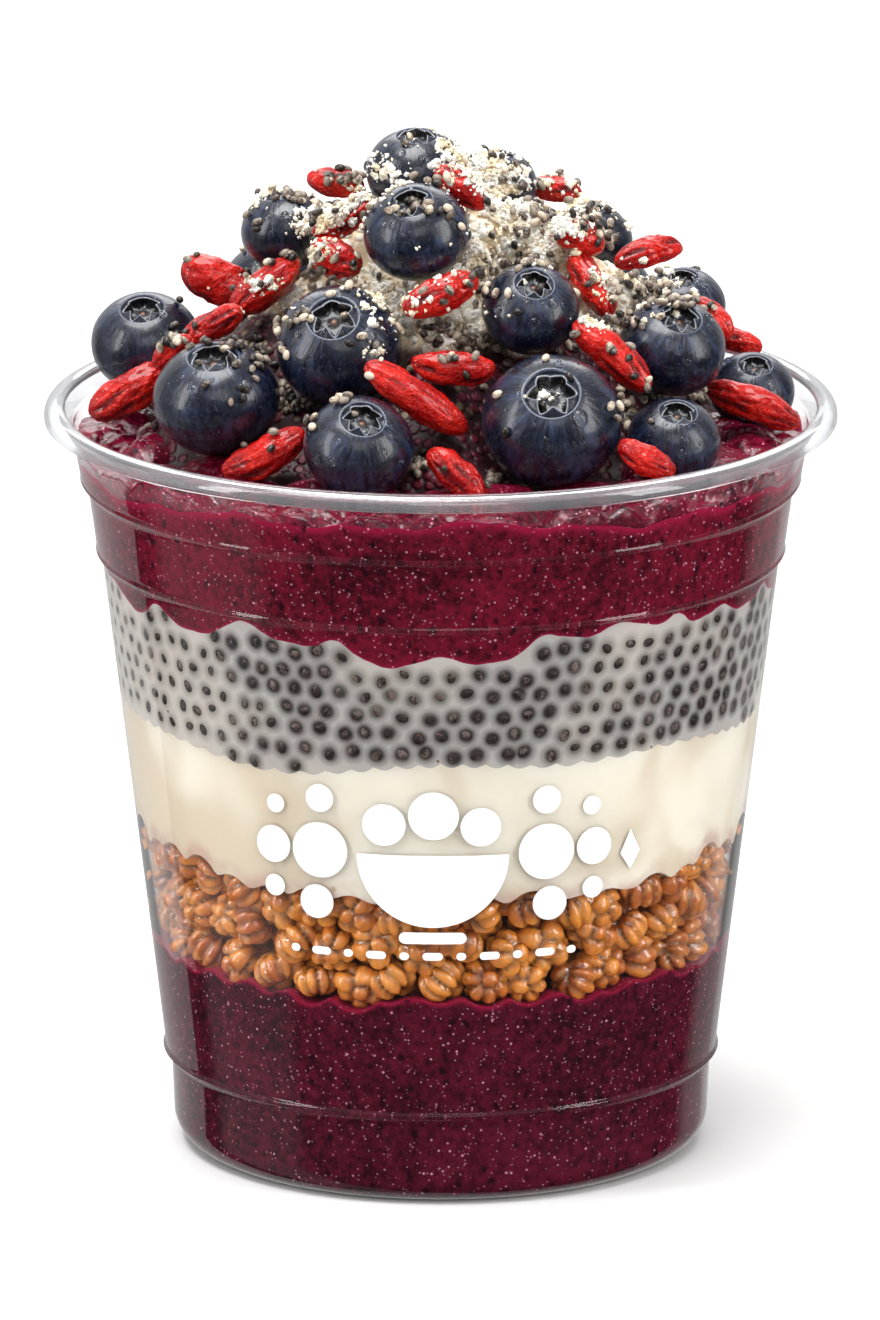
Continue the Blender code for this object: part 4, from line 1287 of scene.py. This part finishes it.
SEED_PATCHES = (
    (0, -1.3, 125.2, 4.0, 1.0, 26), (0, -11.5, 118.4, 3.0, 1.2, 26), (0, -4.6, 122.0, 3.0, 1.6, 8),
    (0, 6.8, 121.8, 3.4, 2.2, 20), (0, 8.5, 118.0, 3.0, 2.0, 10), (0, -17.6, 115.9, 3.2, 1.2, 26),
    (0, -21.0, 117.2, 3.0, 0.9, 14), (0, -20.8, 109.4, 3.0, 1.6, 26), (0, -14.6, 106.6, 3.6, 1.6, 44),
    (0, -11.6, 105.0, 2.6, 1.4, 22), (0, -3.2, 114.4, 5.2, 1.6, 62), (0, -2.0, 117.6, 4.0, 1.0, 22),
    (0, 3.4, 110.4, 2.6, 1.8, 10), (0, 5.2, 104.6, 2.8, 2.4, 44), (0, 10.0, 111.4, 4.0, 3.0, 14),
    (0, 10.8, 107.6, 5.2, 1.8, 44), (0, 18.6, 114.4, 2.8, 2.0, 30), (0, 20.6, 110.6, 2.6, 2.4, 30),
    (0, 26.0, 105.0, 5.6, 3.4, 150), (0, 29.6, 102.6, 4.0, 1.2, 44), (0, 23.6, 100.4, 2.4, 1.6, 34),
    (0, 5.0, 98.0, 6.2, 1.7, 110), (0, 11.4, 97.6, 4.2, 1.2, 50), (0, -25.6, 97.2, 3.6, 1.4, 40),
    (0, -22.0, 96.0, 1.8, 3.0, 34), (0, -32.4, 98.2, 2.2, 2.0, 26), (0, -17.6, 90.0, 2.6, 1.8, 30),
    (0, -11.4, 90.8, 2.2, 1.3, 18), (0, -1.6, 82.6, 2.8, 1.2, 22), (0, 26.0, 91.8, 3.6, 1.6, 40),
    (0, 22.4, 88.4, 2.0, 2.2, 24), (0, 32.0, 91.0, 2.0, 1.0, 10), (0, 6.8, 80.9, 2.2, 1.0, 16),
    (0, -37.6, 87.8, 3.2, 1.2, 28), (0, 38.0, 97.0, 1.8, 0.8, 8), (0, -16.6, 100.8, 2.4, 1.0, 16),
    (0, 0, 100, 30, 14, 110), (0, 22, 92, 14, 8, 40), (0, -24, 92, 14, 8, 40),
    (180, 0, 112, 16, 9, 240), (180, -16, 101, 12, 7, 130), (180, 18, 101, 12, 7, 130),
    (90, 0, 110, 14, 9, 160), (90, 14, 98, 10, 6, 60), (90, -14, 98, 10, 6, 40),
    (270, 0, 110, 14, 9, 160), (270, 14, 98, 10, 6, 40), (270, -14, 98, 10, 6, 60))


def on_a_berry(spot):
    return any((spot - Vector((x, y, z))).length < diameter / 2 + 0.3
               for x, y, z, diameter, heading, pitch in BLUEBERRIES)


def seed_places(hits, seed, kinds):
    """Splits the landed seeds between kinds; each lies nearly flat on what it fell on."""
    pick = random.Random(seed)
    lots = [[] for _ in kinds]
    for hit, normal in hits:
        which = pick.choices(range(len(kinds)), weights=kinds)[0]
        if on_a_berry(hit) and pick.random() < 0.6:
            continue
        length = pick.uniform(1.15, 1.62)
        lean = (normal + Vector([pick.gauss(0, 0.28) for _ in range(3)])).normalized()
        lift = length * pick.choice((0.18, 0.22, 0.26, 0.34))
        lots[which].append((0, Matrix.Translation(hit + normal * lift)
                            @ facing(lean, pick.uniform(0, 6.28)) @ Matrix.Scale(length, 4)))
    return lots


landed = sprinkled(joined_surface([heap, crumb_under, crumb_over] + berry_pieces + goji_pieces),
                   SEED_PATCHES, 31, 0.12)
dry_seed = seed_shape()
pale_lot, grey_lot, dark_lot = seed_places(landed, 32, (0.3, 0.45, 0.25))
for name, lot, dark, light, share in (
        ("seeds_pale", pale_lot, tone(112, 96, 80), tone(214, 198, 176), 0.46),
        ("seeds_grey", grey_lot, tone(44, 38, 34), tone(150, 136, 122), 0.49),
        ("seeds_dark", dark_lot, tone(22, 18, 16), tone(92, 78, 68), 0.53)):
    finish_piece(name, strewn([dry_seed], lot), seed_coat(name, dark, light, share),
                 smooth=180, recalc=False)


# The large drops: berry, across and up on its face as shares of its radius, half width in mm
LARGE_DROPS = ((14, 0.45, 0.04, 1.0), (12, 0.5, 0.17, 0.8), (9, 0.29, 0.03, 0.6), (9, 0.51, 0.11, 0.6),
               (8, 0.54, 0.17, 0.9), (8, -0.7, 0.17, 0.5), (14, -0.1, -0.3, 0.4), (4, -0.5, 0.1, 0.5),
               (10, 0.1, -0.1, 0.45), (13, -0.4, 0.1, 0.4), (13, 0.5, -0.1, 0.4), (15, 0.2, 0.0, 0.4))


def drop_places(pick):
    """Drops on the open skins of the berries: a few large ones and many small."""
    skins = joined_surface(berry_pieces)
    toward = direction(-90, math.degrees(SPRINKLE_SLOPE))
    upward = direction(90, 90 - math.degrees(SPRINKLE_SLOPE))
    places = []
    for number, across, up, size in LARGE_DROPS:
        x, y, z, diameter, heading, pitch = BLUEBERRIES[number - 1]
        way = (Vector((across, 0, 0)) + upward * up
               + toward * math.sqrt(1 - across ** 2 - up ** 2)).normalized()
        hit, normal, face, far = skins.ray_cast(Vector((x, y, z)) + way * diameter, -way)
        if hit is not None:
            places.append((0, Matrix.Translation(hit) @ facing(normal, 0)
                           @ Matrix.Diagonal((size, size * 1.15, size * 0.6, 1))))
    for number, (x, y, z, diameter, heading, pitch) in enumerate(BLUEBERRIES):
        for _ in range(14 if y < 5 else 8):
            way = (direction(-90, 35) + Vector([pick.gauss(0, 0.55) for _ in range(3)])).normalized()
            centre = Vector((x, y, z))
            hit, normal, face, far = skins.ray_cast(centre + way * diameter, -way)
            if hit is None or (hit - centre).length > diameter * 0.55 or normal.z < -0.2:
                continue
            size = 0.2 + 0.55 * pick.random() ** 2.5
            places.append((0, Matrix.Translation(hit) @ facing(normal, pick.uniform(0, 6.28))
                           @ Matrix.Diagonal((size, size * pick.uniform(0.85, 1.2), size * 0.6, 1))))
    return places


def water():
    mat, tree, shader = new_material("water_drop", Roughness=0.02, IOR=1.33, Metallic=0.0,
                                     Transmission_Weight=1.0)
    place = node(tree, "ShaderNodeTexCoord").outputs["Object"]
    ripple = node(tree, "ShaderNodeTexNoise", {"Vector": place, "Scale": 900.0})
    uneven = node(tree, "ShaderNodeBump", {"Height": ripple.outputs[0], "Strength": 0.05,
                                           "Distance": 0.0001})
    tree.links.new(uneven.outputs[0], shader.inputs["Normal"])
    path = node(tree, "ShaderNodeLightPath")
    through = node(tree, "ShaderNodeBsdfTransparent")
    mixed = node(tree, "ShaderNodeMixShader", {0: path.outputs["Is Shadow Ray"],
                                               1: shader.outputs[0], 2: through.outputs[0]})
    tree.links.new(mixed.outputs[0], tree.nodes["Material Output"].inputs["Surface"])
    return mat


drop_ball = bmesh.new()
bmesh.ops.create_icosphere(drop_ball, subdivisions=2, radius=1.0)
bmesh.ops.subdivide_edges(drop_ball, edges=drop_ball.edges, cuts=1, use_grid_fill=True, smooth=1.0)
drop_shape = bpy.data.meshes.new("drop")
drop_ball.to_mesh(drop_shape)
drop_ball.free()
finish_piece("water_drops", strewn([drop_shape], drop_places(random.Random(41))), water(),
             smooth=180, recalc=False)


# ---- Floor, light and camera -----------------------------------------------------------------
# A plain white table under soft studio light: one broad panel above, a tall strip on each side.
floor_bm = bmesh.new()
bmesh.ops.create_grid(floor_bm, x_segments=1, y_segments=1, size=1.3)
floor_mesh = bpy.data.meshes.new("floor")
floor_bm.to_mesh(floor_mesh)
floor_bm.free()
floor = bpy.data.objects.new("floor", floor_mesh)
bpy.context.collection.objects.link(floor)
floor_mat, floor_tree, floor_shader = new_material("white_table", Roughness=0.9,
                                                   Specular_IOR_Level=0.1)
floor_grain = node(floor_tree, "ShaderNodeTexNoise", {"Scale": 40.0})
floor_colour = blend_colours(floor_tree, floor_grain.outputs[0], (0.93, 0.93, 0.93, 1),
                             (0.94, 0.94, 0.94, 1))
floor_tree.links.new(floor_colour, floor_shader.inputs["Base Color"])
floor_mesh.materials.append(floor_mat)


def panel(name, place, aim, width, height, power, tint=(1, 1, 1)):
    lamp = bpy.data.lights.new(name, "AREA")
    lamp.shape = "RECTANGLE"
    lamp.size, lamp.size_y, lamp.energy, lamp.color = width, height, power, tint
    holder = bpy.data.objects.new(name, lamp)
    holder.location = place
    holder.rotation_euler = (Vector(aim) - Vector(place)).to_track_quat("-Z", "Y").to_euler()
    bpy.context.collection.objects.link(holder)


panel("overhead_panel", (-0.1, -0.1, 0.95), (0, 0, 0.08), 0.6, 0.6, 10.5)
panel("left_strip", (-0.7, -0.3, 0.4), (0, 0, 0.07), 0.15, 0.7, 2.4)
panel("right_strip", (0.7, -0.35, 0.4), (0, 0, 0.07), 0.25, 0.7, 3.2)
panel("front_panel", (0.1, -1.1, 0.8), (0, 0, 0.07), 0.6, 0.5, 1.7)
panel("back_panel", (0.0, 0.9, 0.7), (0, 0, 0.1), 0.9, 0.5, 4.0)

# What shines in the glossy skins and the wall: dark in front, a bright card at each side behind
world = bpy.data.worlds.new("studio")
world.use_nodes = True
bpy.context.scene.world = world
sky = world.node_tree
way = node(sky, "ShaderNodeTexCoord").outputs["Generated"]
flat_way = node(sky, "ShaderNodeVectorMath", {0: way, 1: (1, 1, 0)}, operation="MULTIPLY")
level_way = node(sky, "ShaderNodeVectorMath", {0: flat_way.outputs[0]}, operation="NORMALIZE")


def card(centre, edge, soft, brightness):
    """A tall card beside the cup: how bright it is in each direction."""
    toward = Vector(centre).normalized()
    facing_it = node(sky, "ShaderNodeVectorMath", {0: level_way.outputs[0], 1: toward},
                     operation="DOT_PRODUCT").outputs["Value"]
    return math_node(sky, "MULTIPLY", band(sky, facing_it, edge - soft, edge), brightness)


up = node(sky, "ShaderNodeSeparateXYZ", {0: way}).outputs[2]
overhead = math_node(sky, "MULTIPLY", band(sky, up, 0.1, 0.9), 0.2)
left = math_node(sky, "MAXIMUM", card((-0.454, 0.891, 0), 0.891, 0.008, 0.6),
                 card((-1, -0.03, 0), 0.96, 0.08, 0.3))
right = math_node(sky, "MAXIMUM", card((0.454, 0.891, 0), 0.96, 0.1, 0.4),
                  card((0.1, 1, 0), 0.97, 0.1, 0.6))
around = math_node(sky, "ADD", 0.015, math_node(sky, "MULTIPLY", band(sky, up, -0.2, 0.15), 0.16))
shine = math_node(sky, "ADD", math_node(sky, "ADD", around, overhead),
                  math_node(sky, "MAXIMUM", left, right))
in_wall = math_node(sky, "GREATER_THAN",
                    node(sky, "ShaderNodeLightPath").outputs["Transmission Depth"], 0.5)
shine = math_node(sky, "ADD", shine, math_node(sky, "MULTIPLY", in_wall, 0.1))


def bounced(tree):
    """Masks for light that has been scattered, and for light that has only been mirrored."""
    path = node(tree, "ShaderNodeLightPath")
    scattered = math_node(tree, "GREATER_THAN", path.outputs["Diffuse Depth"], 0.5)
    mirrored = math_node(tree, "MULTIPLY", math_node(tree, "SUBTRACT", 1.0, scattered),
                         math_node(tree, "GREATER_THAN", path.outputs["Glossy Depth"], 0.5))
    return scattered, mirrored


scattered, mirrored = bounced(sky)
straight = math_node(sky, "SUBTRACT", 1.0, math_node(sky, "ADD", scattered, mirrored))
level = math_node(sky, "ADD", math_node(sky, "MULTIPLY", straight, 1.04), math_node(
    sky, "ADD", math_node(sky, "MULTIPLY", scattered, 0.36), math_node(sky, "MULTIPLY", mirrored, shine)))
background = sky.nodes["Background"]
background.inputs["Color"].default_value = (1, 1, 1, 1)
sky.links.new(level, background.inputs["Strength"])

# The table lights the cup but isn't mirrored in its wall, and it fades out into the white room
floor_place = node(floor_tree, "ShaderNodeTexCoord").outputs["Object"]
floor_reach = node(floor_tree, "ShaderNodeVectorMath", {0: floor_place},
                   operation="LENGTH").outputs["Value"]
floor_shine = math_node(floor_tree, "MAXIMUM", bounced(floor_tree)[1],
                        band(floor_tree, floor_reach, 0.72, 1.25))
unseen = node(floor_tree, "ShaderNodeBsdfTransparent")
table = node(floor_tree, "ShaderNodeMixShader", {0: floor_shine, 1: floor_shader.outputs[0],
                                                 2: unseen.outputs[0]})
floor_tree.links.new(table.outputs[0], floor_tree.nodes["Material Output"].inputs["Surface"])

camera_data = bpy.data.cameras.new("camera")
camera_data.lens = 484.2
camera_data.sensor_width = 36.0
camera_data.clip_end = 20.0
camera = bpy.data.objects.new("camera", camera_data)
tilt = math.radians(14.7)
camera.location = Vector((-0.0001, -2.2 * math.cos(tilt), 0.06087 + 2.2 * math.sin(tilt)))
camera.rotation_euler = (math.pi / 2 - tilt, 0, 0)
bpy.context.collection.objects.link(camera)
bpy.context.scene.camera = camera
bpy.context.scene.view_settings.view_transform = "Standard"
